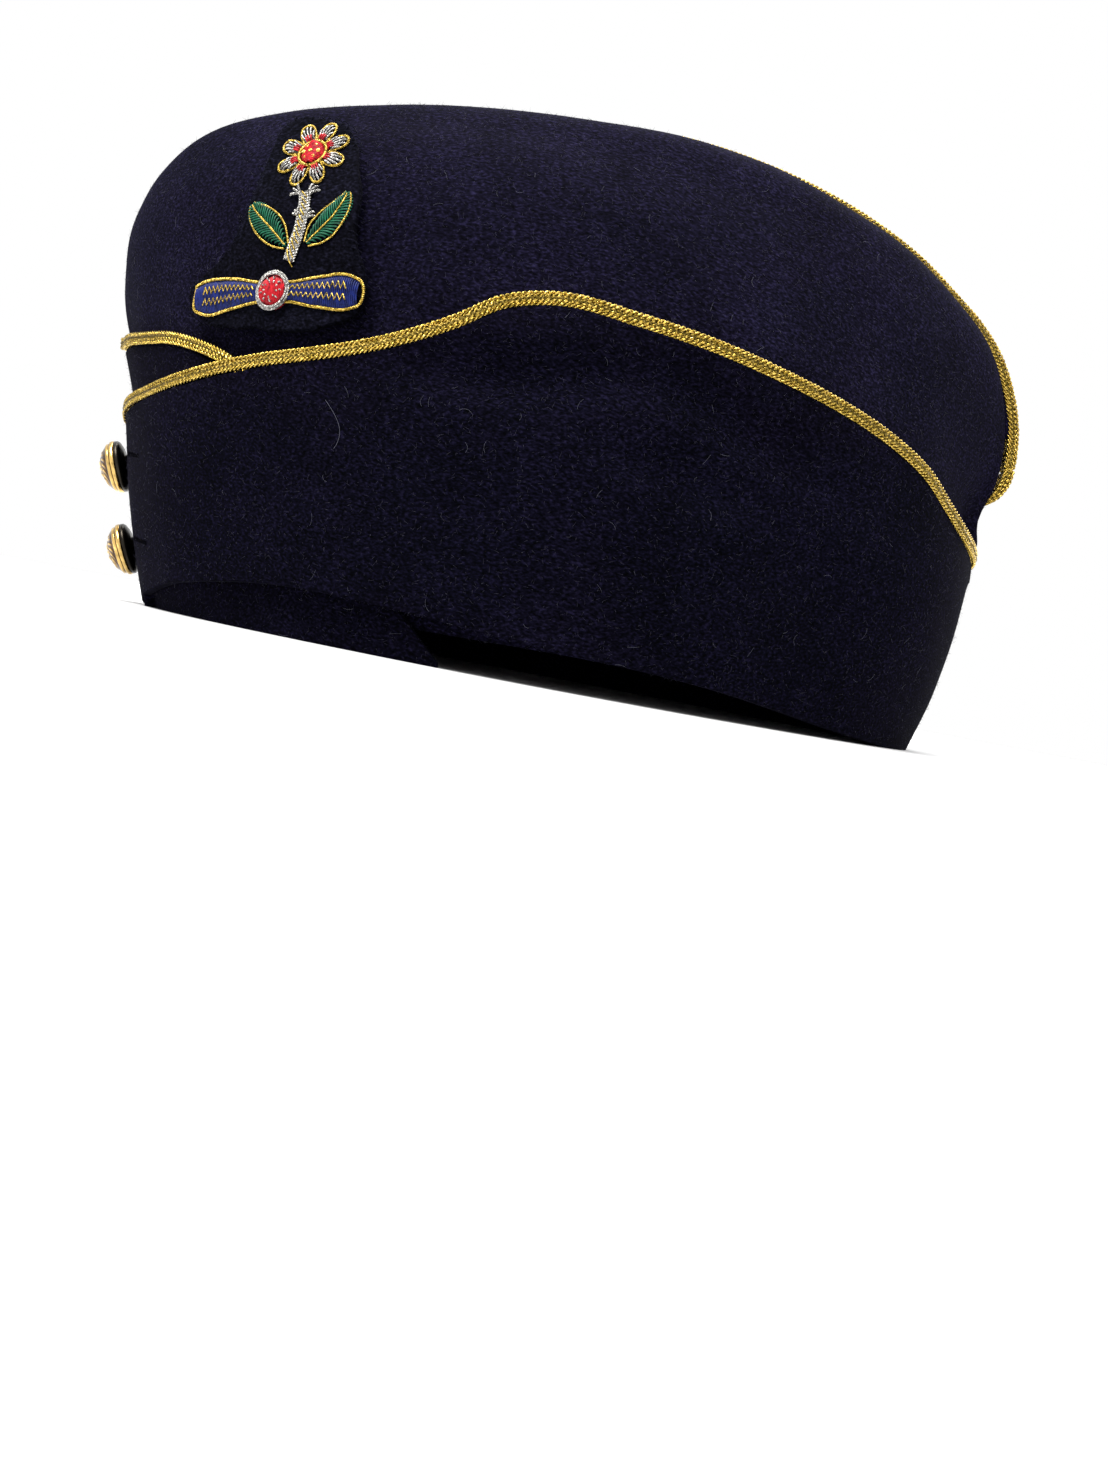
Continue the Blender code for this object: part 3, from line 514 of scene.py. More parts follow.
def refined_wall(node, levels, edge_radius):
    """Mesh of a CAD wall with rounded edges and a smooth surface."""
    bm = merged_solid(node)
    bmesh.ops.join_triangles(bm, faces=bm.faces, angle_face_threshold=math.radians(30),
                             angle_shape_threshold=math.radians(60))
    corners = [edge for edge in bm.edges
               if len(edge.link_faces) == 2 and edge.calc_face_angle() > math.radians(55)]
    bmesh.ops.bevel(bm, geom=corners, affect="EDGES", offset=edge_radius, segments=2, profile=0.5, material=-1,
                    clamp_overlap=True)
    rough = new_object(node + "_rough", made_mesh(node, bm))
    smooth = rough.modifiers.new("Smooth", "SUBSURF")
    smooth.levels = levels
    smooth.render_levels = levels
    return evaluated_mesh(rough)


def threads_mesh(name, lines, radius, sides=1):
    """Mesh of round threads through lines of points, with one radius, or one or a row of radii for each line."""
    curve = bpy.data.curves.new(name, "CURVE")
    curve.dimensions = "3D"
    curve.bevel_depth = 1.0
    curve.bevel_resolution = sides
    curve.use_fill_caps = True
    radii = radius if hasattr(radius, "__len__") else [radius] * len(lines)
    for line, width in zip(lines, radii):
        points = np.asarray(line, float)
        spline = curve.splines.new("POLY")
        spline.points.add(len(points) - 1)
        spline.points.foreach_set("co", np.column_stack([points, np.ones(len(points))]).ravel())
        spline.points.foreach_set("radius", np.broadcast_to(width, len(points)).astype(float))
    return evaluated_mesh(new_object(name, curve))


def centre_line(node):
    """Middles of the rings of a CAD braid, from the ring at its front end on."""
    bm = merged_solid(node)
    caps = [face for face in bm.faces if all((a.co - b.co).length < TUBE_REACH for a in face.verts
                                             for b in face.verts)]
    caps.sort(key=lambda face: (face.calc_center_median().z if node.startswith("flap") else
                                face.calc_center_median().x))
    if node.startswith("flap"):
        caps = [face for face in caps if face.calc_center_median().x < 0]
    start = caps[0].calc_center_median()
    level = [vert for vert in bm.verts if (vert.co - start).length < TUBE_REACH]
    seen = set(level)
    middles = []
    while level:
        middles.append(sum((vert.co for vert in level), Vector()) / len(level))
        ahead = {edge.other_vert(vert) for vert in level for edge in vert.link_edges} - seen
        seen |= ahead
        level = list(ahead)
    bm.free()
    return middles


def run_lengths(places):
    """Length of a line of points up to each of them."""
    return np.concatenate([[0], np.cumsum(np.linalg.norm(np.diff(places, axis=0), axis=1))])


def sampled(at, knots, rows):
    """Rows that belong to knots, read at other places."""
    return np.column_stack([np.interp(at, knots, column) for column in rows.T])


def smooth_line(points, step):
    """Points at even steps along a smooth curve through the given ones, and the length up to each."""
    places = np.array([list(p) for p in points])
    knots = run_lengths(places)
    slopes = np.gradient(places, knots, axis=0)
    dense = []
    for k in range(len(places) - 1):
        width = knots[k + 1] - knots[k]
        for s in np.linspace(0, 1, 24, endpoint=False):
            dense.append(places[k] * (1 + 2 * s) * (1 - s) ** 2 + places[k + 1] * s * s * (3 - 2 * s)
                         + slopes[k] * width * s * (1 - s) ** 2 - slopes[k + 1] * width * s * s * (1 - s))
    dense.append(places[-1])
    dense = np.array(dense)
    runs = run_lengths(dense)
    even = np.linspace(0, runs[-1], max(2, int(runs[-1] / step)))
    return sampled(even, runs, dense), even


def unit(rows):
    """Rows made one long."""
    return rows / np.linalg.norm(rows, axis=1, keepdims=True)


def square_to(rows, along):
    """Unit rows square to along, nearest to the given ones."""
    return unit(rows - along * np.sum(rows * along, axis=1, keepdims=True))


def wound(out, side, turn):
    """Unit circle in the plane of out and side, at the given turns."""
    return out * np.cos(turn)[:, None] + side * np.sin(turn)[:, None]


def surface(piece):
    """A piece's faces, to lay threads on."""
    return BVHTree.FromObject(piece, bpy.context.evaluated_depsgraph_get())


def left_point(faces, x, z):
    """The outermost point of the cap's left side at x and z, or None."""
    return faces.ray_cast(Vector((x, OUTSIDE_LEFT, z)), Vector((0, 1, 0)))[0]


# Operators


class CAP_OT_cloth(bpy.types.Operator):
    """Adds the crown panels, the gusset and the flaps as smooth dented cloth"""

    bl_idname = "cap.cloth"
    bl_label = "Cloth"

    def execute(self, context):
        colours = context.scene.cap_colours
        crown_wool = wool_material("wool", tuple(colours.wool), 0.010)
        # The flaps get the crown's wool darkened to 0.6 and with less sheen: painted shade that makes them darker
        # than the crown.
        flap_wool_painted_shade = wool_material("flap_wool_painted_shade", shade(tuple(colours.wool), 0.60), 0.004)
        for node in CLOTH_NODES:
            mesh = refined_wall(node, 2, 0.7 * MM)
            if node == "crown_top":
                self.raise_gusset(mesh)
            else:
                self.raise_edge(node, mesh)
            for vert in mesh.vertices:
                vert.co = dented(vert.co)
            add_piece(node + "_cloth", mesh, flap_wool_painted_shade if node.startswith("flap") else crown_wool, [node])
        return {"FINISHED"}

    def raise_gusset(self, mesh):
        """Lifts the gusset's two edges with the panels' edges, and fills the seams' ends with its two points."""
        left, right = edge_line("crown_piping_left"), edge_line("crown_piping_right")
        for vert in mesh.vertices:
            vert.co = raised(vert.co, left if vert.co.y < MIDDLE_Y else right, CROWN_EDGE, CROWN_REACH)
            nose, heel = ease(*NOSE_SPAN, -vert.co.x), ease(*HEEL_SPAN, vert.co.x)
            vert.co += Vector((HEEL_OUT * heel - NOSE_OUT * nose, 0, -HEEL_DOWN * heel - NOSE_DOWN * nose)) * MM
            wide = ease(*WIDE_SPAN, vert.co.x) * (1 - HEEL_NARROW * heel)
            vert.co += Vector((0, WIDE_OUT if vert.co.y > MIDDLE_Y else -WIDE_OUT, WIDE_UP)) * (wide * MM)

    def raise_edge(self, node, mesh):
        """Lifts a panel's or flap's upper edge to its line, and lets the right side's rim sag to the floor."""
        part, side = node.split("_")
        line = edge_line(f"{part}_piping_{side}")
        way = -1 if side == "left" else 1
        rim = rim_line("crown_right")
        for vert in mesh.vertices:
            if part == "crown":
                vert.co = raised(vert.co, line, CROWN_EDGE, CROWN_REACH)
                vert.co = raised(vert.co, line, SEAM_WOOL, SEAM_REACH)
            elif (vert.co.y - MIDDLE_Y) * way > 0:
                vert.co = raised(vert.co, line, FLAP_EDGE, FLAP_REACH)
            else:
                vert.co = lapped(vert.co)
            if way > 0:
                foot = float(np.interp(vert.co.x, rim[:, 0], rim[:, 1], left=0, right=0))
                sag = (foot + SAG_PAST) * (1 - ease(0, SAG_REACH, vert.co.z - foot)) if foot > 0 else 0.0
                vert.co.z = max(vert.co.z - sag, min(vert.co.z, SAG_LOWEST))


class CAP_OT_braid(bpy.types.Operator):
    """Adds the gold piping: strands woven round a core, with a twisted chain along both edges; the core and the
    strands wound one way are darkened as painted shade
    """

    bl_idname = "cap.braid"
    bl_label = "Braid piping"

    def execute(self, context):
        sizes, colours = context.scene.cap_sizes, context.scene.cap_colours
        gold = metal_thread_material("gold_braid", tuple(colours.braid))
        # The core and the strands wound the other way get the braid's gold darkened to 0.29: painted shade between
        # the bright strands.
        shaded_gold = metal_thread_material("gold_braid_painted_shade", shade(tuple(colours.braid), 0.29), 0.34)
        for node in BRAID_NODES:
            line = self.moved(node, centre_line(node))
            line = self.tucked(node, line)
            line = [dented(place) for place in line]
            path, runs = smooth_line(line, sizes.braid_pitch / (2 * sizes.strand_count))
            bright, dark = self.strands(node, path, runs, sizes)
            for name, (lines, radii), material in (("braid", bright, gold), ("core", dark, shaded_gold)):
                mesh = threads_mesh(f"{node}_{name}", lines, radii, sides=0)
                add_piece(f"{node}_{name}", mesh, material, [node])
        return {"FINISHED"}

    def moved(self, node, line):
        """The braid's line, moved with the cloth edge that carries it."""
        edge = edge_line(node)
        way = -1 if node.endswith("left") else 1
        made = []
        for place in line:
            if node.startswith("crown"):
                place = raised(place, edge, CROWN_EDGE, CROWN_REACH)
                place -= Vector((0, way * table(BRAID_IN, place.x), 0))
            elif (place.y - MIDDLE_Y) * way > 0:
                proud = FLAP_PROUD * ease(*FLAP_PROUD_SPAN, place.x)
                place = raised(place, edge, FLAP_EDGE, FLAP_REACH) + Vector((proud, way * proud, 0))
            else:
                place = lapped(place)
            made.append(place)
        return made

    def tucked(self, node, line):
        """Brings the back end of a braid to the back seam; that of a top seam dives into it."""
        last = line[-1]
        way = 1 if last.y > MIDDLE_Y else -1
        tuck = CROWN_TUCK if node.startswith("crown") else FLAP_TUCK
        return line + [Vector((last.x + x * MM, MIDDLE_Y + way * y * MM, last.z + z * MM)) for x, y, z in tuck]

    def strands(self, node, path, runs, sizes):
        """Lines and radii of the bright threads, and of the core with the strands wound the other way, which are
        darkened as painted shade.
        """
        along = unit(np.gradient(path, axis=0))
        if node.startswith("crown"):
            side = 1 if path[:, 1].mean() > MIDDLE_Y else -1
            out = np.tile([0.0, side * 0.9, 0.35], (len(path), 1))
        else:
            out = np.column_stack([path[:, 0] / HALF_LENGTH**2, (path[:, 1] - MIDDLE_Y) / HALF_WIDTH**2,
                                   np.zeros(len(path))])
        out = square_to(out, along)
        across = np.cross(along, out)
        across *= np.sign(across[:, 2:3] + 1e-9)
        reach = BRAID_RADIUS - sizes.strand_radius - WEAVE
        thin = np.ones(len(path))
        if node.startswith("crown"):
            thin -= THIN_SHARE * np.clip((runs - runs[-1]) / THIN_RUN + 1, 0, 1) ** 2
        bright, dark = ([], []), ([path], [reach * thin])
        count, step = sizes.strand_count, np.arange(len(path))
        for way, (lines, radii) in ((1, bright), (-1, dark)):
            rings = (thin * (reach + way * WEAVE * np.where(step % 2, 1, -1)))[:, None]
            for k in range(count):
                lines.append(path + wound(out, across, 2 * math.pi * (k + way * step / 2) / count) * rings)
                radii.append(sizes.strand_radius * thin)
        out, across = out * thin[:, None], across * thin[:, None]
        for along_edge, off in CHAIN_ROWS:
            edge = path + (across * along_edge + out * off) * MM
            chain, widths = self.chain(edge, runs, out, across, sizes.bead_pitch)
            bright[0].extend(chain)
            bright[1].extend(widths)
        return bright, dark

    def chain(self, edge, runs, out, across, pitch):
        """Two threads twisted along an edge of the braid, and their radii."""
        fine = np.arange(0, runs[-1], pitch / 6)
        beads, outs, sides = (sampled(fine, runs, rows) for rows in (edge, out, across))
        turns = math.pi * fine / pitch
        lines = [beads + wound(outs, sides, turns + start) * CHAIN_REACH for start in (0, math.pi)]
        return lines, [CHAIN_RADIUS * np.linalg.norm(outs, axis=1)] * 2


class CAP_OT_buttons(bpy.types.Operator):
    """Adds the two gilt buttons, with a rolled rim, cast leaves and a back shell made near black as a painted
    reflection of the dark cloth, and their buttonholes
    """

    bl_idname = "cap.buttons"
    bl_label = "Buttons"

    def execute(self, context):
        colours = context.scene.cap_colours
        gilt = gilt_material("gilt", tuple(colours.gilt), 0.22)
        dark = gilt_material("button_back_painted_reflection", tuple(colours.shell), 0.30)
        holes = []
        for node in BUTTON_NODES:
            seat, turn, radius, height = self.place(node)
            face = self.turned(self.face_profile(radius, height), 96, relief=(radius, height))
            back = self.turned(self.back_profile(radius, height), 64)
            for part, bm, material in (("face", face, gilt), ("back", back, dark)):
                bm.transform(Matrix.Translation(seat) @ turn.to_matrix().to_4x4())
                add_piece(f"{node}_{part}", made_mesh(node, bm), material, [node])
            holes += self.buttonhole(seat)
        thread = wool_material("hole_thread", shade(tuple(colours.felt), 0.5), 0.0)
        add_piece("buttonhole_stitches", threads_mesh("buttonhole_stitches", holes, 0.16 * MM), thread)
        return {"FINISHED"}

    def buttonhole(self, seat):
        """Upright stitches along the slit behind a button, laid on the left flap."""
        flap = surface(bpy.data.objects["flap_left_cloth"])
        lines = []
        for k in range(HOLE_STITCHES):
            x = seat.x + (HOLE_START + HOLE_STEP * k) * MM
            line = []
            for rise in (-HOLE_HALF, 0.0, HOLE_HALF):
                hit = left_point(flap, x, seat.z + (HOLE_UP + rise - HOLE_SLOPE * k) * MM)
                if hit is not None:
                    line.append(hit - Vector((0, 0.12 * MM if rise else -0.10 * MM, 0)))
            if len(line) == 3:
                lines.append(line)
        return lines

    def place(self, node):
        """Foot, turn, radius and height of a CAD button, from its points."""
        points = np.array([list(v.co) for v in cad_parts[node].data.vertices])
        middle = points.mean(0)
        axis = np.linalg.eigh(np.cov((points - middle).T))[1][:, 0]
        axis *= -np.sign(axis[0])
        axis += np.array([0, BUTTON_LEAN, 0])
        axis /= np.linalg.norm(axis)
        up = (points - middle) @ axis
        spread = np.linalg.norm(points - middle - np.outer(up, axis), axis=1)
        seat = dented(Vector(middle + axis * up.min())) + BUTTON_SHIFT
        return seat, Vector(axis).to_track_quat("Z", "Y"), spread.max(), up.max() - up.min()

    def back_profile(self, radius, height):
        """Shank, and the shell that widens to the rim."""
        rim = height * RIM_FOOT
        return [(0, -SHANK_DEPTH), (radius * SHANK_REACH, -SHANK_DEPTH), (radius * SHANK_REACH, -0.5 * MM),
                (radius * 0.74, -0.3 * MM), (radius * 0.92, height * 0.04), (radius * 0.98, height * 0.11),
                (radius * 0.985, rim * 0.95), (radius * 0.95, rim), (radius * 0.80, rim), (0, rim)]

    def face_profile(self, radius, height):
        """Rolled rim, a step inside it, and the dome, from the back to the middle of the front."""
        rows = list(FACE_RIM)
        for k in range(DOME_RINGS + 1):
            share = 1 - k / DOME_RINGS
            rows.append((DOME_REACH * share, DOME_FOOT + DOME_RISE * math.cos(share * math.pi / 2) ** 0.8))
        return [(radius * reach, height * (RIM_FOOT + rise)) for reach, rise in rows]

    def turned(self, profile, segments, relief=None):
        """Profile spun round the Z axis. relief: radius and height of the dome that gets the cast design."""
        bm = bmesh.new()
        verts = [bm.verts.new((r, 0, z)) for r, z in profile]
        edges = [bm.edges.new(pair) for pair in zip(verts, verts[1:])]
        bmesh.ops.spin(bm, geom=verts + edges, cent=(0, 0, 0), axis=(0, 0, 1), angle=2 * math.pi, steps=segments,
                       use_merge=True)
        bmesh.ops.remove_doubles(bm, verts=bm.verts, dist=0.002 * MM)
        bmesh.ops.recalc_face_normals(bm, faces=bm.faces)
        # The "clear" layer sets the gilt's painted shade: low on the face's back, in the grooves by the rim and
        # round the dome, and between the cast leaves.
        clear = bm.verts.layers.float.new("clear")
        for vert in bm.verts:
            vert[clear] = 1.0
            if relief:
                radius, height = relief
                share, rise = math.hypot(vert.co.x, vert.co.y) / radius, vert.co.z / height - RIM_FOOT
                if rise > 0.1 and share < 0.84:
                    cast = self.cast(share, math.atan2(vert.co.y, vert.co.x))
                    vert.co.z += cast
                    vert[clear] = 0.12 + 0.88 * min(1.0, cast / (LEAF_HEIGHT * MM))
                elif share < 0.87 or rise < 0.01 or (share < 0.94 and rise < 0.22):
                    vert[clear] = 0.05
        return bm

    def cast(self, share, turn):
        """Height of the cast design: a ring of slanting leaves round a six-petalled rosette."""
        ring = math.exp(-(((share - 0.64) / 0.11) ** 2))
        leaves = ring * max(0.0, math.cos(18 * turn + 26 * share)) * LEAF_HEIGHT
        rosette = math.exp(-(((share - 0.26) / 0.14) ** 2)) * max(0.0, 0.35 + 0.65 * math.cos(6 * turn)) * 0.42
        middle = math.exp(-((share / 0.09) ** 2)) * 0.30
        rope = math.exp(-(((share - 0.45) / 0.022) ** 2)) * (0.6 + 0.4 * math.cos(30 * turn)) * 0.24
        return (leaves + rosette + middle + rope) * MM


class CAP_OT_patch(bpy.types.Operator):
    """Adds the felt patch with its sewn, slightly lifted edge"""

    bl_idname = "cap.patch"
    bl_label = "Felt patch"

    def execute(self, context):
        colours = context.scene.cap_colours
        felt = wool_material("felt", tuple(colours.felt), 0.003)
        mesh = refined_wall("badge_patch", 2, 0.5 * MM)
        ground = PatchGround()
        rough = random.Random(5)
        for vert in mesh.vertices:
            a, b = ground.local(vert.co)
            edge = max(abs(a) / (ground.width / 2), abs(b) / (ground.height / 2))
            fray = noise.noise(vert.co * 700) * EDGE_FRAY
            wave = noise.noise(vert.co * 190) * EDGE_WAVE * ease(0.6, 1.0, edge)
            curl = EDGE_CURL * max(0.0, edge - CURL_FROM) / (1 - CURL_FROM) * (1.0 if a > 0 or b < 0 else 0.5)
            outward = (ground.across * a + ground.up * b).normalized()
            vert.co = (dented(vert.co) + ground.out * (curl + fray) + outward * wave
                       + ground.across * fray * rough.uniform(0.6, 1.4))
        add_piece("badge_patch_felt", mesh, felt, ["badge_patch"])
        return {"FINISHED"}


class PatchGround:
    """The patch's own axes, and the face of the felt or of its CAD solid to lay threads on."""

    def __init__(self, piece=None):
        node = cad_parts["badge_patch"].data
        normals = sum((face.normal * face.area for face in node.polygons if face.normal.y < -0.5), Vector())
        self.out = normals.normalized()
        up = Vector((-math.sin(PATCH_LEAN), 0, math.cos(PATCH_LEAN)))
        self.up = (up - self.out * up.dot(self.out)).normalized()
        self.across = self.up.cross(self.out)
        spans = [(vert.co.dot(self.across), vert.co.dot(self.up), vert.co.dot(self.out)) for vert in node.vertices]
        low, high = [[pick(span[k] for span in spans) for k in range(3)] for pick in (min, max)]
        self.width, self.height = high[0] - low[0], high[1] - low[1]
        self.middle = sum((axis * (a + b) / 2 for axis, a, b in
                           zip((self.across, self.up, self.out), low, high)), Vector())
        if piece is not None:
            self.face = surface(piece)

    def local(self, place):
        """Lengths across and up from the patch's middle to a place."""
        gap = place - self.middle
        return gap.dot(self.across), gap.dot(self.up)

    def at(self, a, b, lift=0.0):
        """Point over the felt at lengths across and up, at a height over its face."""
        flat = self.middle + self.across * a + self.up * b
        hit = self.face.ray_cast(flat + self.out * PATCH_CLEAR, -self.out)[0]
        return (self.face.find_nearest(flat)[0] if hit is None else hit) + self.out * lift

    def share(self, across, up, lift=0.0):
        """The same for shares of the patch's width and height."""
        return self.at(across * self.width, up * self.height, lift)


class CAP_OT_embroidery(bpy.types.Operator):
    """Adds the raised embroidery: a flower, a stem with two leaves and a bow with gold edges"""

    bl_idname = "cap.embroidery"
    bl_label = "Embroidery"

    def execute(self, context):
        sizes, colours = context.scene.cap_sizes, context.scene.cap_colours
        self.ground = PatchGround(bpy.data.objects["badge_patch_felt"])
        finish = {
            "gold_thread": metal_thread_material("gold_thread", tuple(colours.braid), 0.30),
            "silver_thread": metal_thread_material("silver_thread", tuple(colours.silver), 0.32),
            "red_thread": silk_material("red_thread", tuple(colours.red)),
            "green_thread": silk_material("green_thread", tuple(colours.green)),
            "blue_thread": silk_material("blue_thread", tuple(colours.blue)),
            "felt": wool_material("sewing_thread", shade(tuple(colours.felt), 1.6), 0.05),
        }
        # Name of a piece, its lines, its thread's share of the full radius, its slot, and the node it replaces
        for name, lines, share, slot, *nodes in (
                ("patch_stitches", self.sewn_edge(), 0.50, "felt"),
                ("petals_thread", self.petals(), 0.62, "silver_thread", "badge_petals"),
                ("petals_edge", self.petal_edges(), 0.70, "gold_thread"),
                ("petals_hearts", self.petal_hearts(), 0.90, "red_thread"),
                ("flower_centre_thread", self.disc(), 1.00, "red_thread", "badge_flower_centre"),
                ("flower_centre_knots", self.knots(), 1.10, "gold_thread"),
                ("stem_thread", self.stem(), 0.80, "silver_thread", "badge_stem"),
                ("stem_winding", self.satin(STEM, 1.6 * MM, 1.05 * MM, 1.4), 0.70, "gold_thread"),
                ("leaf_front_thread", self.leaf(FRONT_LEAF), 0.80, "green_thread", "badge_leaf_front"),
                ("leaf_back_thread", self.leaf(BACK_LEAF), 0.80, "green_thread", "badge_leaf_back"),
                ("ribbon_thread", self.satin(RIBBON, 0.50 * MM, 0.9 * MM), 0.90, "blue_thread", "badge_ribbon"),
                ("ribbon_edge", self.ribbon_edges(), 0.90, "gold_thread"),
                ("leaf_edges", self.leaf_edges(), 0.60, "gold_thread"),
                ("boss_thread", self.boss(), 1.00, "red_thread"),
                ("boss_ring", self.boss_ring(), 0.75, "silver_thread"),
                ("sprigs_thread", self.sprigs(), 0.62, "silver_thread")):
            mesh = threads_mesh("badge_" + name, lines, sizes.thread_radius * share)
            add_piece("badge_" + name, mesh, finish[slot], nodes)
        return {"FINISHED"}

    def arched(self, start, end, rise, base=0.25 * MM, points=7):
        """Thread from start to end, in lengths on the patch, that bows up over its padding."""
        line = []
        for k in range(points):
            t = k / (points - 1)
            lift = base + rise * math.sin(math.pi * t) ** 0.6 if 0 < k < points - 1 else 0.0
            across, up = (low + (high - low) * t for low, high in zip(start, end))
            line.append(self.ground.at(across, up, lift))
        return line

    def middle(self):
        """Middle of the flower, in lengths on the patch."""
        return FLOWER[0] * self.ground.width, FLOWER[1] * self.ground.height

    def polar(self, reach, turn):
        """Spot at a reach and turn from the flower's middle."""
        a, b = self.middle()
        return a + reach * math.cos(turn), b + reach * math.sin(turn)

    def sewn_edge(self):
        """Short stitches over the felt's edge, all the way round."""
        outline = [self.ground.share(a, b, 0.15 * MM) for a, b in PATCH_OUTLINE + PATCH_OUTLINE[:1]]
        path = smooth_line(outline, 2.3 * MM)[0]
        inward = unit(np.array(list(self.ground.middle)) - path)
        out = np.array(list(self.ground.out))
        rough = random.Random(3)
        lines = []
        for place, way in zip(path, inward):
            depth = rough.uniform(1.3, 2.0) * MM
            start = place - way * 0.9 * MM - out * 2.0 * MM
            lines.append([start, place - way * 0.5 * MM, place + out * 0.25 * MM, place + way * depth])
        return lines

    def petals(self):
        """Silver cords laid side by side along each petal."""
        lines = []
        reach = PETAL_REACH * self.ground.height
        for axis in PETAL_TURNS:
            for j in range(-2, 3):
                share = j / 2.5
                line = self.arched(self.polar(reach * 0.50, axis + share * math.radians(15)),
                                   self.polar(reach * (1 - 0.30 * share**2), axis + share * math.radians(17)),
                                   0.70 * MM, points=6)
                lines += self.twist(line, 0.15 * MM, 0.75 * MM)
        return lines

    def petal_hearts(self):
        """Red stitches at the foot of each petal."""
        lines = []
        reach = PETAL_REACH * self.ground.height
        for axis in PETAL_TURNS:
            for share in (-0.5, 0.0, 0.5):
                lines.append(self.arched(self.polar(reach * 0.42, axis + share * math.radians(16)),
                                         self.polar(reach * (0.68 - 0.10 * share**2),
                                                    axis + share * math.radians(14)),
                                         0.50 * MM, 0.75 * MM, 5))
        return lines

    def petal_edges(self):
        """Twisted gold round the tip of each petal."""
        lines = []
        reach = PETAL_REACH * self.ground.height
        for axis in PETAL_TURNS:
            line = []
            for j in range(25):
                share = -1.12 + 2.24 * j / 24
                tip = reach * 1.03 * (1 - 0.42 * abs(share) ** 2.6)
                line.append(self.ground.at(*self.polar(tip, axis + share * math.radians(18.5)), 0.35 * MM))
            lines += self.twist(line, 0.20 * MM, 0.9 * MM)
        return lines

    def disc(self):
        """Padded red round in the middle of the flower."""
        lines = []
        reach = DISC_REACH * self.ground.height
        a, b = self.middle()
        count = 15
        for k in range(count):
            share = -1 + 2 * (k + 0.5) / count
            half = reach * math.sqrt(1 - share**2)
            lines.append(self.arched((a - half, b + share * reach), (a + half, b + share * reach), 1.2 * MM,
                                     0.5 * MM))
        return lines

    def knots(self):
        """Twisted gold round the disc and seven knots on it."""
        reach = KNOT_REACH * self.ground.height
        ring = [self.ground.at(*self.polar(reach, 2 * math.pi * k / 48), 0.65 * MM) for k in range(49)]
        lines = self.twist(ring, 0.24 * MM, 1.0 * MM)
        for k in range(7):
            spot = self.middle() if k == 6 else self.polar(0.55 * reach, math.pi * k / 3)
            lines.append([self.ground.at(spot[0] + 0.34 * MM * math.cos(t), spot[1] + 0.34 * MM * math.sin(t),
                                         1.75 * MM - (0.25 * MM if k < 6 else 0))
                          for t in np.linspace(0, 2.2 * math.pi, 12)])
        return lines

    def twist(self, line, reach, pitch):
        """Two threads twisted round a line of points."""
        path, runs = smooth_line(line, pitch / 7)
        along = unit(np.gradient(path, axis=0))
        out = square_to(np.tile(list(self.ground.out), (len(path), 1)), along)
        side = np.cross(along, out)
        return [path + wound(out, side, 2 * math.pi * runs / pitch + start) * reach for start in (0, math.pi)]

    def section(self, bands, t):
        """Middle, half width and way across at a share of the way along a band, and the band's length."""
        places = smooth_line([(band.across * self.ground.width, band.up * self.ground.height,
                               band.half * self.ground.height) for band in bands], 0.4 * MM)[0]
        knots = run_lengths(places[:, :2])
        at, step = t * knots[-1], 0.02 * knots[-1]
        spot, ahead, behind = sampled([at, at + step, at - step], knots, places)
        run = (ahead - behind)[:2] / np.linalg.norm((ahead - behind)[:2])
        return spot[:2], spot[2], np.array([-run[1], run[0]]), knots[-1]

    def satin(self, bands, spacing, rise, slant=0.0):
        """Stitches side by side across a band."""
        count = int(self.section(bands, 0)[3] / spacing)
        lines = []
        for k in range(count):
            spot, half, square, _ = self.section(bands, (k + 0.5) / count)
            run = np.array([square[1], -square[0]])
            lean = run * half * slant
            lines.append(self.arched(spot - square * half - lean, spot + square * half + lean, rise))
        return lines

    def leaf(self, bands):
        """Stitches that run from the midrib out to both edges, slanting towards the tip."""
        length = self.section(bands, 0)[3]
        count = int(length / (0.80 * MM))
        lines = []
        for k in range(count):
            t = (k + 0.3) / count
            spot, half, square, _ = self.section(bands, t)
            run = np.array([square[1], -square[0]])
            for side in (1, -1):
                tip = spot + square * half * side + run * min(half * 0.8, length * (1 - t))
                lines.append(self.arched(spot, tip, 0.45 * MM))
        return lines

    def leaf_edges(self):
        """Gold midribs and outlines of both leaves."""
        lines = []
        for bands in (FRONT_LEAF, BACK_LEAF):
            rib = [self.ground.at(*self.section(bands, t)[0], 0.62 * MM) for t in np.linspace(0.02, 0.98, 14)]
            lines += self.twist(rib, 0.13 * MM, 0.8 * MM)
            for side in (1, -1):
                edge = []
                for t in np.linspace(0.0, 1.0, 22):
                    spot, half, square, _ = self.section(bands, t)
                    edge.append(self.ground.at(*(spot + square * side * (half + 0.3 * MM)), 0.35 * MM))
                lines += self.twist(edge, 0.14 * MM, 0.8 * MM)
        return lines

    def sprigs(self):
        """Small silver buds that fan out on both sides of the stem."""
        lines = []
        for t, side, size in ((0.03, -1, 4.0), (0.06, 1, 3.6), (0.36, -1, 2.6), (0.40, 1, 3.2)):
            spot, _, square, _ = self.section(STEM, t)
            up = np.array([-square[1], square[0]])
            for turn in (0.15, 0.55, 0.95):
                way = square * side * math.cos(turn) + up * math.sin(turn)
                start, end = spot + square * side * 1.1 * MM, spot + way * size * MM * (1.15 - 0.2 * turn)
                lines += self.twist(self.arched(start, end, 0.55 * MM, points=6), 0.22 * MM, 0.85 * MM)
        return lines

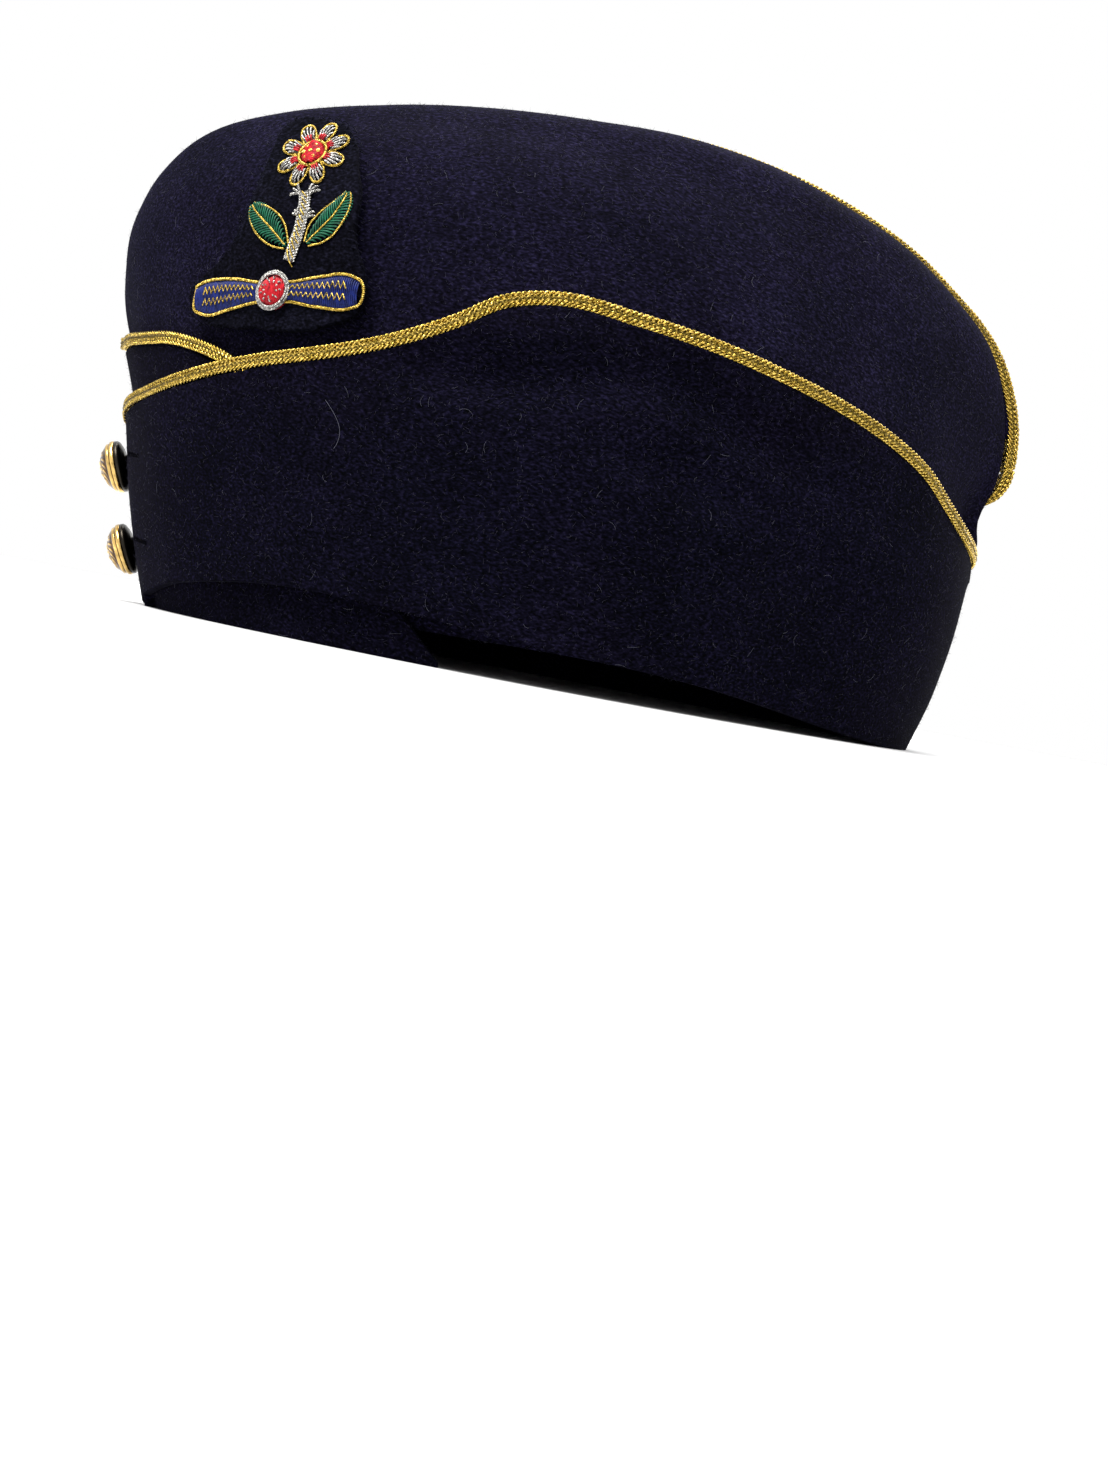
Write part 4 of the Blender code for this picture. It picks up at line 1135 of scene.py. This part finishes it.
    def boss(self):
        """Padded red round over the bow's knot."""
        a, b = RIBBON[KNOT].across * self.ground.width, RIBBON[KNOT].up * self.ground.height
        reach, count = BOSS_REACH - 0.5 * MM, 17
        lines = []
        for k in range(count):
            share = -1 + 2 * (k + 0.5) / count
            half = reach * math.sqrt(1 - share**2)
            rise = 0.9 * MM * math.sqrt(1 - share**2) + 0.1 * MM
            lines.append(self.arched((a + share * reach, b - half), (a + share * reach, b + half), rise, 1.2 * MM))
        return lines

    def boss_ring(self):
        """Double silver cord round the boss and a wreath of silver seeds on it."""
        a, b = RIBBON[KNOT].across * self.ground.width, RIBBON[KNOT].up * self.ground.height
        lines = []
        for reach, lift in ((BOSS_REACH, 1.35 * MM), (BOSS_REACH - 0.55 * MM, 1.6 * MM)):
            ring = [self.ground.at(a + reach * math.cos(t), b + reach * math.sin(t), lift)
                    for t in np.linspace(0, 2 * math.pi, 41)]
            lines += self.twist(ring, 0.20 * MM, 0.85 * MM)
        for k in range(9):
            for reach in (0.34, 0.52):
                turn = 2 * math.pi * k / 9 + reach
                start, end = ((a + BOSS_REACH * far * math.cos(turn), b + BOSS_REACH * far * math.sin(turn))
                              for far in (reach, reach + 0.16))
                lines.append(self.arched(start, end, 0.35 * MM, 2.05 * MM, 4))
        return lines

    def stem(self):
        """Silver cords laid side by side, twisted in pairs."""
        lines = []
        for offset in (-1.35 * MM, -0.81 * MM, -0.27 * MM, 0.27 * MM, 0.81 * MM, 1.35 * MM):
            line = []
            for t in np.linspace(0, 1, 20):
                spot, _, square, _ = self.section(STEM, t)
                line.append(self.ground.at(*(spot + square * offset), 0.35 * MM))
            lines += self.twist(line, 0.20 * MM, 1.5 * MM)
        return lines

    def ribbon_edges(self):
        """Twisted gold round the bow, three bars over its knot and two rows of gold zigzag on each loop."""
        outline = []
        for side, turns in ((1, np.linspace(0, 1, 40)), (-1, np.linspace(1, 0, 40))):
            for t in turns:
                spot, half, square, _ = self.section(RIBBON, t)
                outline.append(self.ground.at(*(spot + square * side * (half + 0.2 * MM)), 0.40 * MM))
        lines = self.twist(outline + outline[:1], 0.24 * MM, 0.9 * MM)
        for t in (0.455, 0.505, 0.555):
            spot, half, square, _ = self.section(RIBBON, t)
            bar = square * (half + 0.5 * MM)
            lines.append(self.arched(spot - bar, spot + bar, 1.5 * MM))
        for low, high in ((0.06, 0.40), (0.60, 0.94)):
            for shift in (-0.34, 0.34):
                zigzag = []
                for k in range(25):
                    spot, half, square, _ = self.section(RIBBON, low + (high - low) * k / 24)
                    across = half * (shift + (0.20 if k % 2 else -0.20))
                    zigzag.append(self.ground.at(*(spot + square * across), 1.30 * MM))
                lines.append(zigzag)
        return lines


class CAP_OT_nap(bpy.types.Operator):
    """Adds the wool's nap, pale lint and one long hair on the left flap"""

    bl_idname = "cap.nap"
    bl_label = "Nap and lint"

    def execute(self, context):
        sizes, colours = context.scene.cap_sizes, context.scene.cap_colours
        wool = tuple(colours.wool)
        nap = new_material("nap", shade(wool, 2.6), 0.9)[0]
        lint = new_material("lint", tuple(colours.lint), 0.8)[0]
        pieces = [bpy.data.objects[node + "_cloth"] for node in CLOTH_NODES]
        draws = np.random.default_rng(11)
        places, normals = self.scatter(pieces, sizes.nap_count, draws)
        add_piece("nap_hairs", self.hairs(places, normals, sizes.nap_length, draws), nap)
        places, normals = self.scatter(pieces, sizes.lint_count, draws)
        lines = [self.fibre(p, n, draws) for p, n in zip(places, normals)]
        lines.append(self.long_hair())
        radii = [LINT_RADIUS] * sizes.lint_count + [HAIR_RADIUS]
        add_piece("lint_fibres", threads_mesh("lint_fibres", lines, radii, sides=0), lint)
        return {"FINISHED"}

    def scatter(self, pieces, count, draws):
        """Random places on the outside of the cloth, with their normals."""
        corners, squares = [], []
        for piece in pieces:
            mesh = piece.data
            mesh.calc_loop_triangles()
            verts = np.array([list(v.co) for v in mesh.vertices])
            tris = np.array([list(t.vertices) for t in mesh.loop_triangles])
            corners.append(verts[tris])
            squares.append(np.cross(verts[tris[:, 1]] - verts[tris[:, 0]], verts[tris[:, 2]] - verts[tris[:, 0]]))
        corners, squares = np.concatenate(corners), np.concatenate(squares)
        areas = np.linalg.norm(squares, axis=1)
        middles = corners.mean(1)
        away = np.column_stack([middles[:, 0] / HALF_LENGTH, (middles[:, 1] - MIDDLE_Y) / HALF_WIDTH])
        outside = (squares[:, 0] * away[:, 0] + squares[:, 1] * away[:, 1] > 0) | (squares[:, 2] > 0.5 * areas)
        share = np.where(outside, areas, areas * INSIDE_SHARE)
        picked = draws.choice(len(share), count, p=share / share.sum())
        mix = draws.dirichlet([1, 1, 1], count)
        return (corners[picked] * mix[:, :, None]).sum(1), squares[picked] / areas[picked, None]

    def hairs(self, places, normals, length, draws):
        """One mesh of thin closed spikes that lean over the cloth."""
        count = len(places)
        lean = square_to(draws.normal(size=(count, 3)), normals)
        way = unit(lean + normals * draws.uniform(0.10, 0.90, (count, 1)))
        side = unit(np.cross(way, normals))
        other = np.cross(way, side)
        size = length * draws.uniform(0.5, 1.5, (count, 1))
        foot = places - normals * 0.05 * MM
        verts = np.stack([foot + side * NAP_RADIUS, foot - side * NAP_RADIUS, foot + other * NAP_RADIUS * 1.6,
                          foot + way * size], 1)
        base = np.arange(count)[:, None] * 4
        faces = np.concatenate([base + [0, 1, 2], base + [0, 3, 1], base + [1, 3, 2], base + [2, 3, 0]])
        mesh = bpy.data.meshes.new("nap_hairs")
        mesh.vertices.add(count * 4)
        mesh.vertices.foreach_set("co", verts.ravel())
        mesh.loops.add(len(faces) * 3)
        mesh.loops.foreach_set("vertex_index", faces.ravel())
        mesh.polygons.add(len(faces))
        mesh.polygons.foreach_set("loop_start", np.arange(len(faces)) * 3)
        mesh.update(calc_edges=True)
        mesh.validate()
        return mesh

    def fibre(self, place, normal, draws):
        """A curled fibre lying on the cloth."""
        way = unit(np.cross(normal, draws.normal(size=3))[None])[0]
        bend = np.cross(normal, way)
        length = draws.uniform(1.0, 3.2) * MM
        curl = draws.uniform(-0.9, 0.9)
        t = np.linspace(-0.5, 0.5, 6)[:, None]
        return place + normal * (0.10 * MM) + way * t * length + bend * (t * t - 0.1) * length * curl

    def long_hair(self):
        """The hair on the left flap, laid on the cloth between two heights."""
        flap = surface(bpy.data.objects["flap_left_cloth"])
        line = []
        for t in np.linspace(0, 1, 14):
            hit = left_point(flap, (-54 + 5.0 * math.sin(2.2 * t)) * MM, (58 - 11 * t) * MM)
            line.append(hit + Vector((0, -0.25 * MM, 0)))
        return line


class CAP_OT_stage(bpy.types.Operator):
    """Adds a pale floor, soft light and the camera"""

    bl_idname = "cap.stage"
    bl_label = "Stage"

    def execute(self, context):
        bm = bmesh.new()
        bmesh.ops.create_grid(bm, x_segments=2, y_segments=2, size=FLOOR_HALF)
        mesh = made_mesh("floor", bm)
        mesh.materials.append(new_material("floor", FLOOR_COLOUR, 0.9)[0])
        new_object("floor", mesh)
        for light in LIGHTS:
            data = bpy.data.lights.new(light.name, "AREA")
            data.size, data.energy = light.size, light.power
            lamp = new_object(light.name, data)
            lamp.location = light.place
            lamp.rotation_euler = (LIT_SPOT - Vector(light.place)).to_track_quat("-Z", "Y").to_euler()
        world = bpy.data.worlds.new("studio")
        world.use_nodes = True
        world.node_tree.nodes["Background"].inputs["Color"].default_value = (1.0, 1.0, 1.0, 1.0)
        world.node_tree.nodes["Background"].inputs["Strength"].default_value = 1.0
        context.scene.world = world
        context.scene.view_settings.view_transform = "Standard"
        self.camera(context)
        return {"FINISHED"}

    def camera(self, context):
        """Camera at the photograph's distance and roll, swung up round the cap's middle to clear the floor."""
        eye = Vector((LEFT_LOW.x + VIEW_BEHIND_NOSE, MIDDLE_Y - VIEW_DISTANCE, VIEW_UP))
        middle = Vector((0, MIDDLE_Y, CROWN_TOP / 2))
        low = math.atan2(middle.z - eye.z, VIEW_DISTANCE)
        reach = math.hypot(middle.z - eye.z, VIEW_DISTANCE)
        swing = Matrix.Rotation(math.asin((middle.z - CAMERA_UP) / reach) - low, 3, "X")
        eye = middle + swing @ (eye - middle)
        turned = swing @ Matrix.Rotation(-VIEW_ROLL, 3, "Y") @ Matrix.Rotation(math.pi / 2, 3, "X")
        data = bpy.data.cameras.new("camera")
        data.sensor_fit = "HORIZONTAL"
        data.sensor_width = 36.0
        data.lens = data.sensor_width * VIEW_FOCAL / VIEW_WIDTH
        data.clip_start = 0.01
        camera = new_object("camera", data)
        camera.matrix_world = Matrix.Translation(eye) @ turned.to_4x4()
        context.scene.camera = camera


class CAP_PT_panel(bpy.types.Panel):
    """Sidebar panel with the cap's sizes, colours and pieces"""

    bl_idname = "CAP_PT_panel"
    bl_label = "Side Cap"
    bl_space_type = "VIEW_3D"
    bl_region_type = "UI"
    bl_category = "Side Cap"

    def draw(self, context):
        for group in (context.scene.cap_sizes, context.scene.cap_colours):
            box = self.layout.box()
            for name in group.bl_rna.properties.keys():
                if name not in ("rna_type", "name"):
                    box.prop(group, name)
        for operator in PIECES:
            self.layout.operator(operator.bl_idname)


PIECES = (CAP_OT_cloth, CAP_OT_braid, CAP_OT_buttons, CAP_OT_patch, CAP_OT_embroidery, CAP_OT_nap, CAP_OT_stage)
CLASSES = (CapSizes, CapColours, *PIECES, CAP_PT_panel)


def register():
    for cls in CLASSES:
        bpy.utils.register_class(cls)
    bpy.types.Scene.cap_sizes = PointerProperty(type=CapSizes)
    bpy.types.Scene.cap_colours = PointerProperty(type=CapColours)


def unregister():
    del bpy.types.Scene.cap_sizes
    del bpy.types.Scene.cap_colours
    for cls in reversed(CLASSES):
        bpy.utils.unregister_class(cls)


def main():
    register()
    bpy.ops.cap.cloth()
    bpy.ops.cap.braid()
    bpy.ops.cap.buttons()
    bpy.ops.cap.patch()
    bpy.ops.cap.embroidery()
    bpy.ops.cap.nap()
    bpy.ops.cap.stage()


if __name__ == "__main__":
    main()
